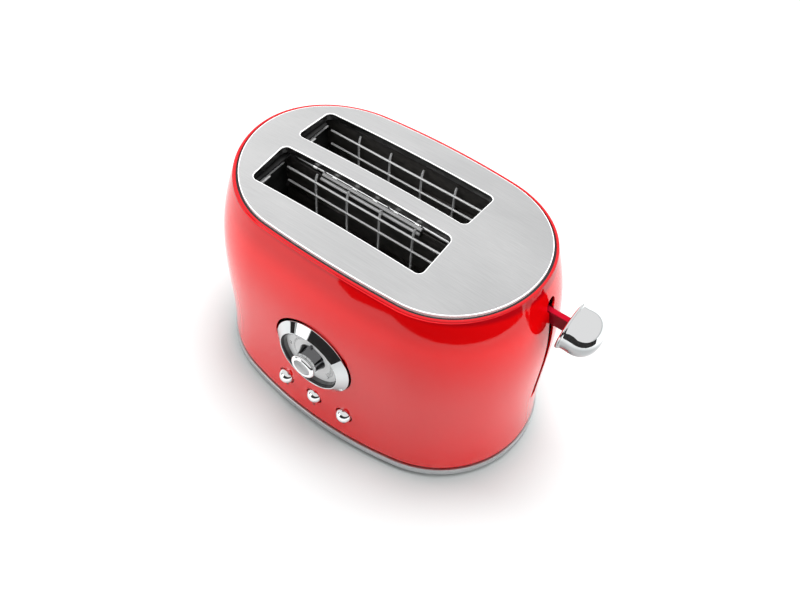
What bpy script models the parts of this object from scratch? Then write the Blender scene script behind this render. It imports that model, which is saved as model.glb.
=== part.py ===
# Two-slot toaster with a domed top plate, a side lever, a browning dial and three push buttons.
# Metres, +Z up. +X points to the lever, -Y to the dial. The toaster stands on its feet at Z = 0.
import math

import bmesh
import bpy
from mathutils import Matrix, Vector

for old_object in list(bpy.data.objects):
    bpy.data.objects.remove(old_object, do_unlink=True)

# Clearances and small common values
seat_gap = 0.0003
cut_overrun = 0.004
smooth_angle = math.radians(34)

# Heights of the outside, from the table up
foot_height = 0.0057
ring_low = 0.004
ring_height = 0.0063
shadow_gap = 0.002
crown_height = 0.1855

# Bread slots with folded lips, and the bridge between them
slot_length = 0.14
slot_width = 0.035
slot_bridge = 0.0143
slot_corner = 0.0045
lip_thickness = 0.0012
lip_depth = 0.006
lip_rise = 0.0003

# Top plate: a crowned oval pressing round the slots, with more room at the lever's end
plate_margin_lever = 0.0599
plate_margin_far = 0.0269
plate_margin_side = 0.02405
plate_end_share = 0.9743
crown_drop_end = 0.005
crown_drop_side = 0.0086
crown_facet_allowance = 0.0003
plate_thickness = 0.0012
plate_edge_radius = 0.0012
plate_flange = 0.005

# Shell: a barrel-shaped pressing that flares below the plate, with a rolled rim and a
# turned-in foot
base_flare_end = 0.0171
base_flare_side = 0.0186
base_end_share = 0.9304
shell_bulge = 0.0061
bulge_power = 1.6
shell_thickness = 0.0012
rim_gap = 0.0015
rim_width = 0.0032
rim_below_plate = 0.0015
rim_flange = 0.006
shell_foot = 0.007

# Base ring and bottom cover
ring_stand_out = 0.001
ring_wall = 0.0026
ledge_width = 0.0105
cover_thickness = 0.0012
vent_length = 0.03
vent_width = 0.004
vent_pitch = 0.012
vent_rows = 5
vent_half_spacing = 0.038
screw_radius = 0.0014
screw_head_radius = 0.003
screw_head_height = 0.0014
screw_length = 0.0036
screw_inset = 0.0055
foot_radius = 0.008
foot_tip_radius = 0.0068
foot_inset_end = 0.0525
foot_inset_side = 0.0348

# Toasting chambers: end plates, reflectors, heaters and wire guides. Margins are outside the
# slots' outer edges, and drops are from the crown
chamber_end_gap = 0.006
sheet_thickness = 0.001
end_plate_margin = 0.00835
end_plate_drop = 0.0155
end_flange_reach = 0.0075
end_flange_drop = 0.013
tongue_inset = 0.00415
reflector_margin = 0.00685
reflector_thickness = 0.0008
reflector_low = 0.026
reflector_drop = 0.014
dimple_radius = 0.002
dimple_pitch = 0.028
card_thickness = 0.0008
card_low = 0.034
outer_card_drop = 0.0135
outer_card_margin = 0.0052
middle_card_drop = 0.02
ribbon_turns = 7
ribbon_width = 0.0024
ribbon_thickness = 0.0003
ribbon_end_inset = 0.014
card_notch_depth = 0.002
channel_length = 0.0852
channel_shift = 0.0015
channel_width = 0.0044
channel_height = 0.006
channel_top_thickness = 0.0012
wire_radius = 0.0009
guide_clearance = 0.0003
guide_pivot_height = 0.03
guide_wire_pitch = 0.028
guide_wire_count = 4
guide_wire_shift = -0.0015
guide_rail_drops = (0.0365, 0.0235)
hook_bend_drops = (0.023, 0.0195, 0.017)
hook_reach = 0.0024

# Carriage, lever and bread racks; the carriage is at its top stop
rack_drop = 0.0805
rack_down_height = 0.025
rack_height = 0.012
rack_thickness = 0.0012
rack_tab_reach = 0.0065
rack_tab_length = 0.008
rack_tab_thickness = 0.0012
rack_tab_count = 7
rack_tail = 0.004
rack_slot_margin = 0.0005
carriage_plate_gap = 0.0045
carriage_plate_thickness = 0.0015
carriage_wing_half_width = 0.03
carriage_wing_height = 0.02
carriage_neck_half_width = 0.009
carriage_neck_margin = 0.00275
rod_radius = 0.0025
rod_reach = 0.0175
rod_side = 0.012
bush_radius = 0.005
bush_height = 0.02
frame_half_width = 0.018
frame_reach = 0.026
frame_thickness = 0.0012
frame_low = 0.016
frame_drop = 0.0225
rod_end = 0.002
spring_radius = 0.0035
spring_wire_radius = 0.0005
spring_turns = 7
spring_tab_width = 0.009
spring_tab_rise = 0.0245
arm_height = 0.0145
arm_thickness = 0.005
arm_centre_drop = 0.0455
arm_slot_margin = 0.0008
arm_slot_end_gap = 0.00675
keyhole_radius = 0.0054
keyhole_drop = 0.0245
lever_knob_clearance = 0.0085
lever_knob_radius = 0.017
lever_knob_length = 0.0245
lever_knob_wall = 0.0022
lever_bead = 0.0011
lever_socket_wall = 0.002

# Latch, magnet and power board
latch_rise = 0.013
latch_thickness = 0.0012
latch_width = 0.012
latch_side = 0.036
latch_reach = 0.036
magnet_leg = 0.004
magnet_span = 0.014
magnet_inset = 0.018
coil_wall = 0.0025
coil_flange = 0.0012
board_thickness = 0.0016
power_board_length = 0.031
power_board_width = 0.03
power_board_near = 0.0195
power_board_start = 0.008
power_board_height = 0.0143
post_radius = 0.003
switch_block_length = 0.01
switch_block_height = 0.015

# Dial, on the front wall
dial_height = 0.09
bezel_radius = 0.0322
bezel_rim_radius = 0.0255
bezel_mouth_radius = 0.0244
bezel_depth = 0.0057
bezel_lip = 0.0009
bezel_hole_margin = 0.0007
bezel_sleeve_radius = 0.029
face_recess = 0.0065
face_thickness = 0.0015
face_radius = 0.0262
knob_radius = 0.0115
knob_waist_radius = 0.0101
knob_cap_radius = 0.0106
knob_length = 0.0098
knob_edge = 0.0009
knob_bore_depth = 0.006
pointer_width = 0.0022
pointer_reach = 0.0022
pointer_height = 0.0024
shaft_radius = 0.003
shaft_hole_margin = 0.0005
pot_radius = 0.0085
pot_length = 0.0087

# Push buttons and their board
button_height = 0.0368
button_spacing = 0.0274
button_radius = 0.0053
button_hole_margin = 0.0007
button_stand_out = 0.0016
button_travel = 0.0015
stem_radius = 0.0022
control_board_inset = 0.0208
control_board_half_width = 0.044
control_board_below_buttons = 0.0148
control_board_margin = 0.002
tact_side = 0.006
tact_height = 0.0035
tact_plunger_radius = 0.0017
tact_plunger_height = 0.0008
carrier_inset = 0.0113
carrier_thickness = 0.002
carrier_half_width = 0.04
carrier_half_height = 0.01
carrier_leg_width = 0.006

# Crumb tray and cord gland
tray_inset = 0.0065
tray_floor_height = 0.0157
tray_sheet = 0.001
tray_wall_height = 0.0053
tray_panel_thickness = 0.0025
tray_panel_margin = 0.002
tray_panel_stand_out = 0.0006
tray_opening_margin = 0.0006
tray_grip_half_width = 0.02
tray_grip_reach = 0.006
tray_grip_thickness = 0.0022
rail_inset = 0.004
rail_thickness = 0.001
rail_foot = 0.006
gland_side = 0.045
gland_height = 0.026
gland_radius = 0.006
gland_flange_radius = 0.0085
gland_flange = 0.0016
gland_length = 0.009
gland_bore_radius = 0.0036

# How finely the round forms are divided
end_steps = 8
side_steps = 4
ring_levels = (0.0, 0.16, 0.34, 0.52, 0.68, 0.82, 0.93, 1.0)
inner_levels = (0.93, 0.6, 0.3)
plate_ring_shares = (0.32, 0.66, 0.9)

# Places that follow from the sizes
ring_top = ring_low + ring_height
shell_low = ring_top + shadow_gap
ledge_top = shell_low - seat_gap
cover_low = foot_height + seat_gap
cover_top = cover_low + cover_thickness

slot_half_length = slot_length / 2
slot_shift = (plate_margin_far - plate_margin_lever) / 2
slot_spacing = slot_width + slot_bridge
slot_centres = {"front": -slot_spacing / 2, "back": slot_spacing / 2}
slots_half_width = (slot_spacing + slot_width) / 2

plate_half_length = (slot_length + plate_margin_lever + plate_margin_far) / 2
plate_half_width = slots_half_width + plate_margin_side
plate_end_radius = plate_half_width * plate_end_share
base_half_length = plate_half_length + base_flare_end
base_half_width = plate_half_width + base_flare_side
base_end_radius = base_half_width * base_end_share

near_plate_face = slot_shift + slot_half_length + chamber_end_gap
far_plate_face = slot_shift - slot_half_length - chamber_end_gap
end_plate_half_width = slots_half_width + end_plate_margin
guide_offset = slot_width / 2 + wire_radius + guide_clearance

rack_low = crown_height - rack_drop
carriage_travel = rack_low - rack_down_height
carriage_face = near_plate_face + sheet_thickness + carriage_plate_gap
carriage_back = carriage_face + carriage_plate_thickness
rod_place = (near_plate_face + sheet_thickness + rod_reach, rod_side)
frame_high = crown_height - frame_drop
spring_tab_high = rack_low + spring_tab_rise
arm_centre_height = crown_height - arm_centre_drop
lever_knob_plane = base_half_length + lever_knob_clearance
latch_height = rack_low + latch_rise

control_board_plane = base_half_width - control_board_inset
carrier_plane = base_half_width - carrier_inset
tray_half_width = end_plate_half_width - tray_inset
tray_panel_half_width = tray_half_width + tray_panel_margin
tray_top = tray_floor_height + tray_wall_height


def finish(name, colour, roughness, metallic):
    """A plain Principled material"""
    material = bpy.data.materials.new(name)
    material.use_nodes = True
    shader = material.node_tree.nodes["Principled BSDF"]
    shader.inputs["Base Color"].default_value = (*colour, 1.0)
    shader.inputs["Roughness"].default_value = roughness
    shader.inputs["Metallic"].default_value = metallic
    return material


def add_piece(name, mesh, material, place=(0, 0, 0)):
    """One named object; its mesh is given round its own origin"""
    mesh.materials.append(material)
    mesh.shade_smooth()
    mesh.set_sharp_from_angle(angle=smooth_angle)
    piece = bpy.data.objects.new(name, mesh)
    piece.location = place
    bpy.context.collection.objects.link(piece)
    return piece


def skin(name, rings, material, closed=False, place=(0, 0, 0)):
    """Faces between matching rings of points. A closed skin joins the last ring to the first,
    an open one is capped at both ends, and a ring of one point is a pole. Two poles in a row
    are not joined: they end the outside and the inside of a hollow form."""
    form = bmesh.new()
    rows = [[form.verts.new(point) for point in ring] for ring in rings]
    pairs = list(zip(rows, rows[1:]))
    if closed:
        pairs.append((rows[-1], rows[0]))
    for first, second in pairs:
        count = max(len(first), len(second))
        if count == 1:
            continue
        for index in range(count):
            following = (index + 1) % count
            corners = [first[index % len(first)], first[following % len(first)]]
            corners += [second[following % len(second)], second[index % len(second)]]
            form.faces.new(list(dict.fromkeys(corners)))
    if not closed:
        for row in (rows[0], rows[-1]):
            if len(row) > 2:
                form.faces.new(row)
    bmesh.ops.recalc_face_normals(form, faces=form.faces)
    mesh = bpy.data.meshes.new(name)
    form.to_mesh(mesh)
    form.free()
    return add_piece(name, mesh, material, place)


turned_frames = {
    "x": Matrix(((0, 0, 1), (1, 0, 0), (0, 1, 0))),
    "y": Matrix(((1, 0, 0), (0, 0, -1), (0, 1, 0))),
    "z": Matrix.Identity(3),
}


def turned(name, profile, material, axis="z", place=(0, 0, 0), steps=24, closed=False):
    """A profile of (radius, height) points turned about an axis. Heights run along +X, -Y or +Z."""
    frame = turned_frames[axis]
    rings = []
    for radius, height in profile:
        count = steps if radius else 1
        ring = []
        for index in range(count):
            angle = math.tau * index / steps
            point = Vector((radius * math.cos(angle), radius * math.sin(angle), height))
            ring.append(frame @ point)
        rings.append(ring)
    return skin(name, rings, material, closed, place)


def prism(name, outline, low, high, material, axis="z", place=(0, 0, 0)):
    """An outline extruded along an axis. It is given in (y, z), (x, z) or (x, y)."""
    order = {
        "x": lambda point, along: (along, point[0], point[1]),
        "y": lambda point, along: (point[0], along, point[1]),
        "z": lambda point, along: (point[0], point[1], along),
    }[axis]
    rings = [[order(point, along) for point in outline] for along in (low, high)]
    return skin(name, rings, material, place=place)


def block(name, low, high, material, place=(0, 0, 0)):
    """A box between two corners"""
    outline = [(low[0], low[1]), (high[0], low[1]), (high[0], high[1]), (low[0], high[1])]
    return prism(name, outline, low[2], high[2], material, place=place)


def boolean(piece, tool, operation):
    """Leaves the tool as a guide and works it into the piece"""
    tool.hide_render = True
    tool.display_type = "WIRE"
    step = piece.modifiers.new(tool.name, "BOOLEAN")
    step.operation = operation
    step.solver = "EXACT"
    step.object = tool


def cut(piece, tool):
    boolean(piece, tool, "DIFFERENCE")


def weld(piece, tool):
    boolean(piece, tool, "UNION")


def rectangle(low, high):
    return [(low[0], low[1]), (high[0], low[1]), (high[0], high[1]), (low[0], high[1])]


def circle(centre, radius, steps=16, start=0, sweep=math.tau):
    """Points round an arc; a full circle leaves out its last point"""
    last = steps if sweep == math.tau else steps - 1
    points = []
    for index in range(steps):
        angle = start + sweep * index / last
        points.append((centre[0] + radius * math.cos(angle), centre[1] + radius * math.sin(angle)))
    return points


def oval(half_length, half_width, end_radius):
    """A rounded oval: an arc at each end and a flatter arc along each side, which meet smoothly.
    Every oval has the same number of points, so that ovals of any size can be joined."""
    centre = half_length - end_radius
    side_radius = (half_width**2 + centre**2 - end_radius**2) / (2 * (half_width - end_radius))
    meeting = math.atan2(side_radius - half_width, centre)
    quarter = []
    for index in range(end_steps):
        angle = meeting * index / end_steps
        quarter.append((centre + end_radius * math.cos(angle), end_radius * math.sin(angle)))
    for index in range(side_steps):
        angle = meeting + (math.pi / 2 - meeting) * index / side_steps
        rise = half_width - side_radius + side_radius * math.sin(angle)
        quarter.append((side_radius * math.cos(angle), rise))
    points = quarter + [(0, half_width)]
    points += [(-x, y) for x, y in reversed(quarter[1:])]
    points += [(-x, -y) for x, y in quarter] + [(0, -half_width)]
    points += [(x, -y) for x, y in reversed(quarter[1:])]
    return points


def rounded_slot(margin):
    """Outline of a bread slot, grown by a margin, with extra points along its sides"""
    half_x = slot_half_length + margin
    half_y = slot_width / 2 + margin
    radius = slot_corner + margin
    runs = 4
    points = []
    for sign_x, sign_y, start in ((1, 1, 0), (-1, 1, 1), (-1, -1, 2), (1, -1, 3)):
        centre = (sign_x * (half_x - radius), sign_y * (half_y - radius))
        begin = math.pi / 2 * start
        points += circle(centre, radius, 4, begin, math.pi / 2)
        if sign_y == sign_x:
            reach = half_x - radius
            for index in range(1, runs):
                share = index / runs
                points.append((sign_x * reach * (1 - 2 * share), sign_y * half_y))
    return points


def crown(x, y):
    """Height of the top plate over a point"""
    drop = crown_drop_end * (x / plate_half_length) ** 2
    drop += crown_drop_side * (y / plate_half_width) ** 2
    return crown_height - drop


def shell_oval(level, inset=0.0):
    """Oval of the shell's outer wall at a level from 0, its foot, to 1, its rim"""
    rim = rim_gap + rim_width
    swell = shell_bulge * math.sin(math.pi * level**bulge_power)
    sizes = []
    for low, high in (
        (base_half_length, plate_half_length + rim),
        (base_half_width, plate_half_width + rim),
        (base_end_radius, plate_end_radius + rim),
    ):
        sizes.append(low + (high - low) * level + swell - inset)
    return oval(*sizes)


def shell_ring(level, inset=0.0):
    """A ring of the shell wall; the upper rings follow the crown of the plate"""
    ring = []
    for x, y in shell_oval(level, inset):
        rim = crown(x, y) - rim_below_plate
        ring.append((x, y, shell_low + level * (rim - shell_low)))
    return ring


def wall_reach(height):
    """Half-width of the shell at a height, on its middle section"""
    low, high = 0.0, 1.0
    for _ in range(30):
        level = (low + high) / 2
        y = shell_oval(level)[end_steps + side_steps][1]
        rim = crown(0, y) - rim_below_plate
        if shell_low + level * (rim - shell_low) < height:
            low = level
        else:
            high = level
    return y


def plate_ring(grow, drop):
    """A ring beside the plate's edge, at a drop below the crown"""
    sizes = (plate_half_length + grow, plate_half_width + grow, plate_end_radius + grow)
    return [(x, y, crown(x, y) - drop) for x, y in oval(*sizes)]


def level_ring(grow, height):
    """A ring beside the foot of the shell, at one height"""
    sizes = (base_half_length + grow, base_half_width + grow, base_end_radius + grow)
    return [(x, y, height) for x, y in oval(*sizes)]


red_enamel = finish("red_enamel", (0.63, 0.02, 0.025), 0.18, 0.0)
brushed_steel = finish("brushed_steel", (0.62, 0.63, 0.63), 0.34, 1.0)
silver_ring = finish("silver_ring", (0.7, 0.71, 0.72), 0.35, 1.0)
chrome = finish("chrome", (0.8, 0.81, 0.83), 0.06, 1.0)
steel_sheet = finish("steel_sheet", (0.45, 0.45, 0.46), 0.42, 1.0)
steel_wire = finish("steel_wire", (0.6, 0.6, 0.6), 0.3, 1.0)
black_rubber = finish("black_rubber", (0.02, 0.02, 0.02), 0.75, 0.0)
black_plastic = finish("black_plastic", (0.03, 0.03, 0.03), 0.5, 0.0)
mica = finish("mica", (0.5, 0.42, 0.3), 0.5, 0.0)
heater_alloy = finish("heater_alloy", (0.42, 0.38, 0.34), 0.4, 1.0)
board_green = finish("board_green", (0.04, 0.2, 0.08), 0.5, 0.0)
copper = finish("copper", (0.6, 0.25, 0.12), 0.4, 1.0)


def make_shell():
    """Pressed steel shell: barrel wall, rolled rim with a turned-down flange, turned-in foot"""
    outer = [shell_ring(level) for level in ring_levels]
    inner = [shell_ring(level, shell_thickness) for level in inner_levels]
    crest = rim_gap + rim_width
    rim = [
        plate_ring(crest - rim_width * 0.3, rim_below_plate * 0.3),
        plate_ring(rim_gap + rim_width * 0.3, rim_below_plate * 0.15),
        plate_ring(rim_gap, rim_below_plate),
        plate_ring(rim_gap, rim_flange),
        plate_ring(rim_gap + shell_thickness, rim_flange),
        plate_ring(rim_gap + shell_thickness, rim_below_plate + shell_thickness),
    ]
    foot_top = shell_low + shell_thickness
    foot = [
        level_ring(-shell_thickness, foot_top),
        level_ring(-shell_foot, foot_top),
        level_ring(-shell_foot, shell_low),
    ]
    shell = skin("shell", outer + rim + inner + foot, red_enamel, closed=True)

    opening = bezel_radius + bezel_hole_margin
    front = -base_half_width - shell_bulge - cut_overrun
    length = control_board_inset + shell_bulge + cut_overrun
    profile = [(opening, -length), (opening, 0)]
    tool = turned("shell_dial_hole", profile, steel_sheet, "y", (0, front, dial_height), steps=28)
    cut(shell, tool)
    radius = button_radius + button_hole_margin
    for number, x in enumerate(button_places()):
        profile = [(radius, -length), (radius, 0)]
        place = (x, front, button_height)
        cut(shell, turned(f"shell_button_hole_{number}", profile, steel_sheet, "y", place, steps=16))

    outline = lever_slot_outline()
    start = plate_half_length - cut_overrun
    end = base_half_length + shell_bulge + cut_overrun
    cut(shell, prism("shell_lever_slot", outline, start, end, steel_sheet, "x"))

    half = tray_panel_half_width + tray_opening_margin
    low = tray_floor_height - tray_opening_margin - seat_gap
    high = tray_top + tray_opening_margin + tray_sheet
    corner = (-base_half_length - shell_bulge - cut_overrun, -half, low)
    cut(shell, block("shell_tray_opening", corner, (far_plate_face - cut_overrun, half, high), steel_sheet))

    radius = gland_radius + seat_gap
    reach = base_half_width + shell_bulge + cut_overrun
    profile = [(radius, -length), (radius, length)]
    place = (gland_side, reach, gland_height)
    cut(shell, turned("shell_gland_hole", profile, steel_sheet, "y", place, steps=16))


def lever_slot_outline():
    """Tall slot for the lever's arm, with a round, wider top"""
    half = arm_thickness / 2 + arm_slot_margin
    centre = (0, crown_height - keyhole_drop - keyhole_radius)
    spread = math.asin(half / keyhole_radius)
    start = -math.pi / 2 + spread
    points = circle(centre, keyhole_radius, 12, start, math.tau - 2 * spread)
    low = arm_centre_height - carriage_travel - arm_height / 2 - arm_slot_end_gap
    points += circle((0, low + half), half, 5, math.pi, math.pi)
    return points


def make_top_plate():
    """Crowned brushed steel plate with a turned-down edge and a folded lip round each slot"""
    edge = plate_edge_radius
    rows = []
    for share in plate_ring_shares:
        sizes = (plate_half_length, plate_half_width, plate_end_radius)
        rows.append([(x, y, crown(x, y)) for x, y in oval(*(size * share for size in sizes))])
    under = [[(x, y, z - plate_thickness) for x, y, z in row] for row in rows]
    rim = [
        plate_ring(-edge, 0),
        plate_ring(0, edge),
        plate_ring(0, plate_flange),
        plate_ring(-plate_thickness, plate_flange),
        plate_ring(-plate_thickness, plate_thickness + edge / 2),
    ]
    plate = skin("top_plate", rows + rim + under[::-1], brushed_steel)
    for side, centre in slot_centres.items():
        hole = rounded_slot(lip_thickness / 2)
        outline = [(x + slot_shift, y + centre) for x, y in hole]
        low = crown_height - crown_drop_side - plate_thickness - lip_depth - cut_overrun
        cut(plate, prism(f"plate_slot_{side}", outline, low, crown_height + cut_overrun, steel_sheet))
    for side, centre in slot_centres.items():
        rings = []
        for grow, drop in (
            (lip_thickness, lip_depth),
            (lip_thickness, -lip_rise),
            (0, -lip_rise),
            (0, lip_depth),
        ):
            ring = []
            for x, y in rounded_slot(grow):
                spot = (x + slot_shift, y + centre)
                ring.append((*spot, crown(*spot) - drop))
            rings.append(ring)
        weld(plate, skin(f"plate_lip_{side}", rings, steel_sheet, closed=True))


def make_base():
    """Base ring with a ledge for the shell, bottom cover with vents, feet and screws"""
    out = ring_stand_out
    recess = shadow_gap
    inside = out - ring_wall
    ledge = inside - ledge_width
    low = cover_top + seat_gap
    profile = (
        (out, ring_low),
        (out, ring_top),
        (out - recess, ring_top),
        (out - recess, ledge_top),
        (ledge, ledge_top),
        (ledge, low),
        (inside, low),
        (inside, ring_low),
    )
    ring = skin("base_ring", [level_ring(*spot) for spot in profile], silver_ring, closed=True)
    sizes = (base_half_length, base_half_width, base_end_radius)
    outline = oval(*(size + inside - seat_gap for size in sizes))
    cover = prism("bottom_cover", outline, cover_low, cover_top, steel_sheet)

    middle = (vent_rows - 1) / 2
    for side in (-1, 1):
        for row in range(vent_rows):
            x = slot_shift + (row - middle) * vent_pitch
            y = side * vent_half_spacing / 2
            low_end = circle((x, y - vent_length / 2), vent_width / 2, 3, math.pi, math.pi)
            high_end = circle((x, y + vent_length / 2), vent_width / 2, 3, 0, math.pi)
            outline = low_end + high_end
            name = f"cover_vent_{side}_{row}"
            cut(cover, prism(name, outline, cover_low - cut_overrun, cover_top + cut_overrun, steel_sheet))

    number = 0
    for x, y in screw_places():
        number += 1
        hole = screw_radius + seat_gap
        profile = [(hole, cover_low - cut_overrun), (hole, cover_top + cut_overrun)]
        cut(cover, turned(f"cover_screw_hole_{number}", profile, steel_sheet, place=(x, y, 0), steps=8))
        profile = [(hole, cover_top - cut_overrun), (hole, cover_low + screw_length + seat_gap)]
        cut(ring, turned(f"ring_screw_hole_{number}", profile, steel_sheet, place=(x, y, 0), steps=8))
        head = cover_low - seat_gap
        profile = [
            (0, head - screw_head_height),
            (screw_head_radius * 0.7, head - screw_head_height),
            (screw_head_radius, head - screw_head_height / 2),
            (screw_head_radius, head),
            (screw_radius, head),
            (screw_radius, cover_low + screw_length),
            (0, cover_low + screw_length),
        ]
        turned(f"base_screw_{number}", profile, steel_wire, place=(x, y, 0), steps=8)

    for x, y in power_board_posts():
        name = f"cover_post_{'near' if x < power_board_middle()[0] else 'far'}"
        profile = [(post_radius, cover_top - cover_thickness / 2)]
        profile.append((post_radius, power_board_height - seat_gap))
        weld(cover, turned(name, profile, steel_sheet, place=(x, y, 0), steps=10))

    for end, sign_x in (("far", -1), ("lever", 1)):
        for side, sign_y in (("front", -1), ("back", 1)):
            x = sign_x * (base_half_length - foot_inset_end)
            place = (x, sign_y * (base_half_width - foot_inset_side), 0)
            profile = [
                (0, 0),
                (foot_tip_radius, 0),
                (foot_radius, foot_height * 0.3),
                (foot_radius, foot_height),
                (0, foot_height),
            ]
            turned(f"foot_{end}_{side}", profile, black_rubber, place=place, steps=14)


def screw_places():
    """Screws go up through the cover into the ring's ledge, at the middle of each end and side"""
    inset = ring_wall + screw_inset
    along = base_half_length - inset
    across = base_half_width - inset
    return [(-along, 0), (0, across), (along, 0), (0, -across)]


def make_chambers():
    """End plates, reflectors, mica heater cards and their wound ribbons"""
    slot_half = rack_thickness / 2 + rack_slot_margin
    notch_high = tray_top + tray_opening_margin
    shoulder = crown_height - end_plate_drop
    tongue = slots_half_width - tongue_inset
    for end, face, sign in (("lever", near_plate_face, 1), ("far", far_plate_face, -1)):
        outline = [(-end_plate_half_width, shoulder), (-end_plate_half_width, cover_top + seat_gap)]
        if end == "far":
            side = tray_half_width + tray_opening_margin
            outline += [(-side, cover_top + seat_gap), (-side, notch_high)]
            outline += [(side, notch_high), (side, cover_top + seat_gap)]
        outline += [(end_plate_half_width, cover_top + seat_gap), (end_plate_half_width, shoulder)]
        steps = 8
        outline.append((tongue, shoulder))
        for index in range(steps + 1):
            y = tongue * (1 - 2 * index / steps)
            under = plate_thickness + seat_gap + crown_facet_allowance
            outline.append((y, crown(face + sign * sheet_thickness, y) - under))
        outline.append((-tongue, shoulder))
        low, high = sorted((face, face + sign * sheet_thickness))
        plate = prism(f"end_plate_{end}", outline, low, high, steel_sheet, "x")
        flange_top = crown_height - end_flange_drop
        edges = sorted((face + sign * sheet_thickness / 2, face - sign * end_flange_reach))
        corner = (edges[0], -tongue, flange_top - sheet_thickness)
        weld(plate, block(f"{end}_flange", corner, (edges[1], tongue, flange_top), steel_sheet))
        for place, centre in slot_centres.items():
            corner = (low - cut_overrun, centre - slot_half, rack_down_height - rack_slot_margin)
            other = (high + cut_overrun, centre + slot_half, rack_low + rack_height + rack_slot_margin)
            cut(plate, block(f"{end}_rack_slot_{place}", corner, other, steel_sheet))
            for name, side in (("inner", -1), ("outer", 1)):
                y = guide_place(place, name)
                radius = wire_radius + seat_gap
                profile = [(radius, low - cut_overrun), (radius, high + cut_overrun)]
                spot = (0, y, guide_pivot_height)
                cut(plate, turned(f"{end}_pin_{place}_{name}", profile, steel_sheet, "x", spot, steps=8))

    low_x = far_plate_face + seat_gap
    high_x = near_plate_face - seat_gap
    half = reflector_thickness / 2
    reflector_high = crown_height - reflector_drop
    for side, sign in (("front", -1), ("back", 1)):
        y = sign * (slots_half_width + reflector_margin)
        corner = (low_x, y - half, reflector_low)
        reflector = block(f"reflector_{side}", corner, (high_x, y + half, reflector_high), steel_sheet)
        middle = (low_x + high_x) / 2
        for number in (-1, 0, 1):
            radius = dimple_radius
            profile = [(radius, -cut_overrun), (radius, cut_overrun)]
            place = (middle + number * dimple_pitch, y, (reflector_low + reflector_high) / 2)
            cut(reflector, turned(f"{side}_dimple_{number}", profile, steel_sheet, "y", place, steps=8))

    offset = slots_half_width + outer_card_margin
    for side, y, drop in (
        ("front", -offset, outer_card_drop),
        ("middle", 0, middle_card_drop),
        ("back", offset, outer_card_drop),
    ):
        make_heater(side, y, crown_height - drop, low_x, high_x)

    card_high = crown_height - middle_card_drop
    inner = card_thickness / 2 + seat_gap
    outer = channel_width / 2
    top = card_high + seat_gap + channel_top_thickness
    outline = [
        (-outer, top - channel_height),
        (-inner, top - channel_height),
        (-inner, card_high + seat_gap),
        (inner, card_high + seat_gap),
        (inner, top - channel_height),
        (outer, top - channel_height),
        (outer, top),
        (-outer, top),
    ]
    start = slot_shift + channel_shift - channel_length / 2
    prism("heater_top_channel", outline, start, start + channel_length, steel_sheet, "x")


def make_heater(side, y, card_high, low_x, high_x):
    """A mica card with notched ends, and one ribbon wound round it in flat turns"""
    pitch = (card_high - card_low - 2 * ribbon_end_inset) / ribbon_turns
    half_notch = ribbon_width / 2 + seat_gap
    notch = card_notch_depth + seat_gap
    inner_x = (low_x + notch, high_x - notch)
    right, left = [], []
    for turn in range(ribbon_turns):
        height = card_low + ribbon_end_inset + (turn + 0.5) * pitch
        for edge, x, inside, rise in (
            (right, high_x, inner_x[1], 0),
            (left, low_x, inner_x[0], pitch / 2),
        ):
            low = height + rise - half_notch
            high = height + rise + half_notch
            edge += [(x, low), (inside, low), (inside, high), (x, high)]
    outline = [(low_x, card_low), (high_x, card_low)] + right
    outline += [(high_x, card_high), (low_x, card_high)] + left[::-1]
    half = card_thickness / 2
    prism(f"heater_card_{side}", outline, y - half, y + half, mica, "y")

    away = half + seat_gap + ribbon_thickness / 2
    bend = seat_gap + ribbon_thickness / 2
    route = []
    for turn in range(ribbon_turns):
        height = card_low + ribbon_end_inset + (turn + 0.5) * pitch
        route.append((inner_x[1] + bend, y - away, height))
        route.append((inner_x[1] + bend, y + away, height))
        route.append((inner_x[0] - bend, y + away, height + pitch / 2))
        route.append((inner_x[0] - bend, y - away, height + pitch / 2))
    rings = []
    for index, point in enumerate(route):
        before = Vector(route[max(index - 1, 0)])
        after = Vector(route[min(index + 1, len(route) - 1)])
        centre = Vector(point)
        along = (after - before).normalized()
        outward = Vector((math.copysign(1, point[0] - slot_shift), math.copysign(1, point[1] - y), 0))
        if index in (0, len(route) - 1):
            outward = Vector((0, outward.y, 0))
        thick = outward * ribbon_thickness / 2
        wide = Vector((0, 0, ribbon_width / 2))
        low, high = centre - wide, centre + wide
        rings.append([low - thick, low + thick, high + thick, high - thick])
    skin(f"heater_ribbon_{side}", rings, heater_alloy)


def guide_place(slot, name):
    """Where a wire guide stands beside its slot: inner ones are nearer the middle of the toaster"""
    sign = 1 if slot == "back" else -1
    reach = guide_offset if name == "outer" else -guide_offset
    return slot_centres[slot] + sign * reach


def tube(name, route, radius, material, sides=6, place=(0, 0, 0), up=(0, 0, 1)):
    """A wire along a route of straight and bent runs"""
    rings = []
    points = [Vector(point) for point in route]
    for index, centre in enumerate(points):
        before = points[max(index - 1, 0)]
        after = points[min(index + 1, len(points) - 1)]
        along = (after - before).normalized()
        across = along.cross(Vector(up)).normalized()
        other = along.cross(across)
        ring = []
        for side in range(sides):
            angle = math.tau * (side + 0.5) / sides
            ring.append(centre + across * radius * math.cos(angle) + other * radius * math.sin(angle))
        rings.append(ring)
    return skin(name, rings, material, place=place)


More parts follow.
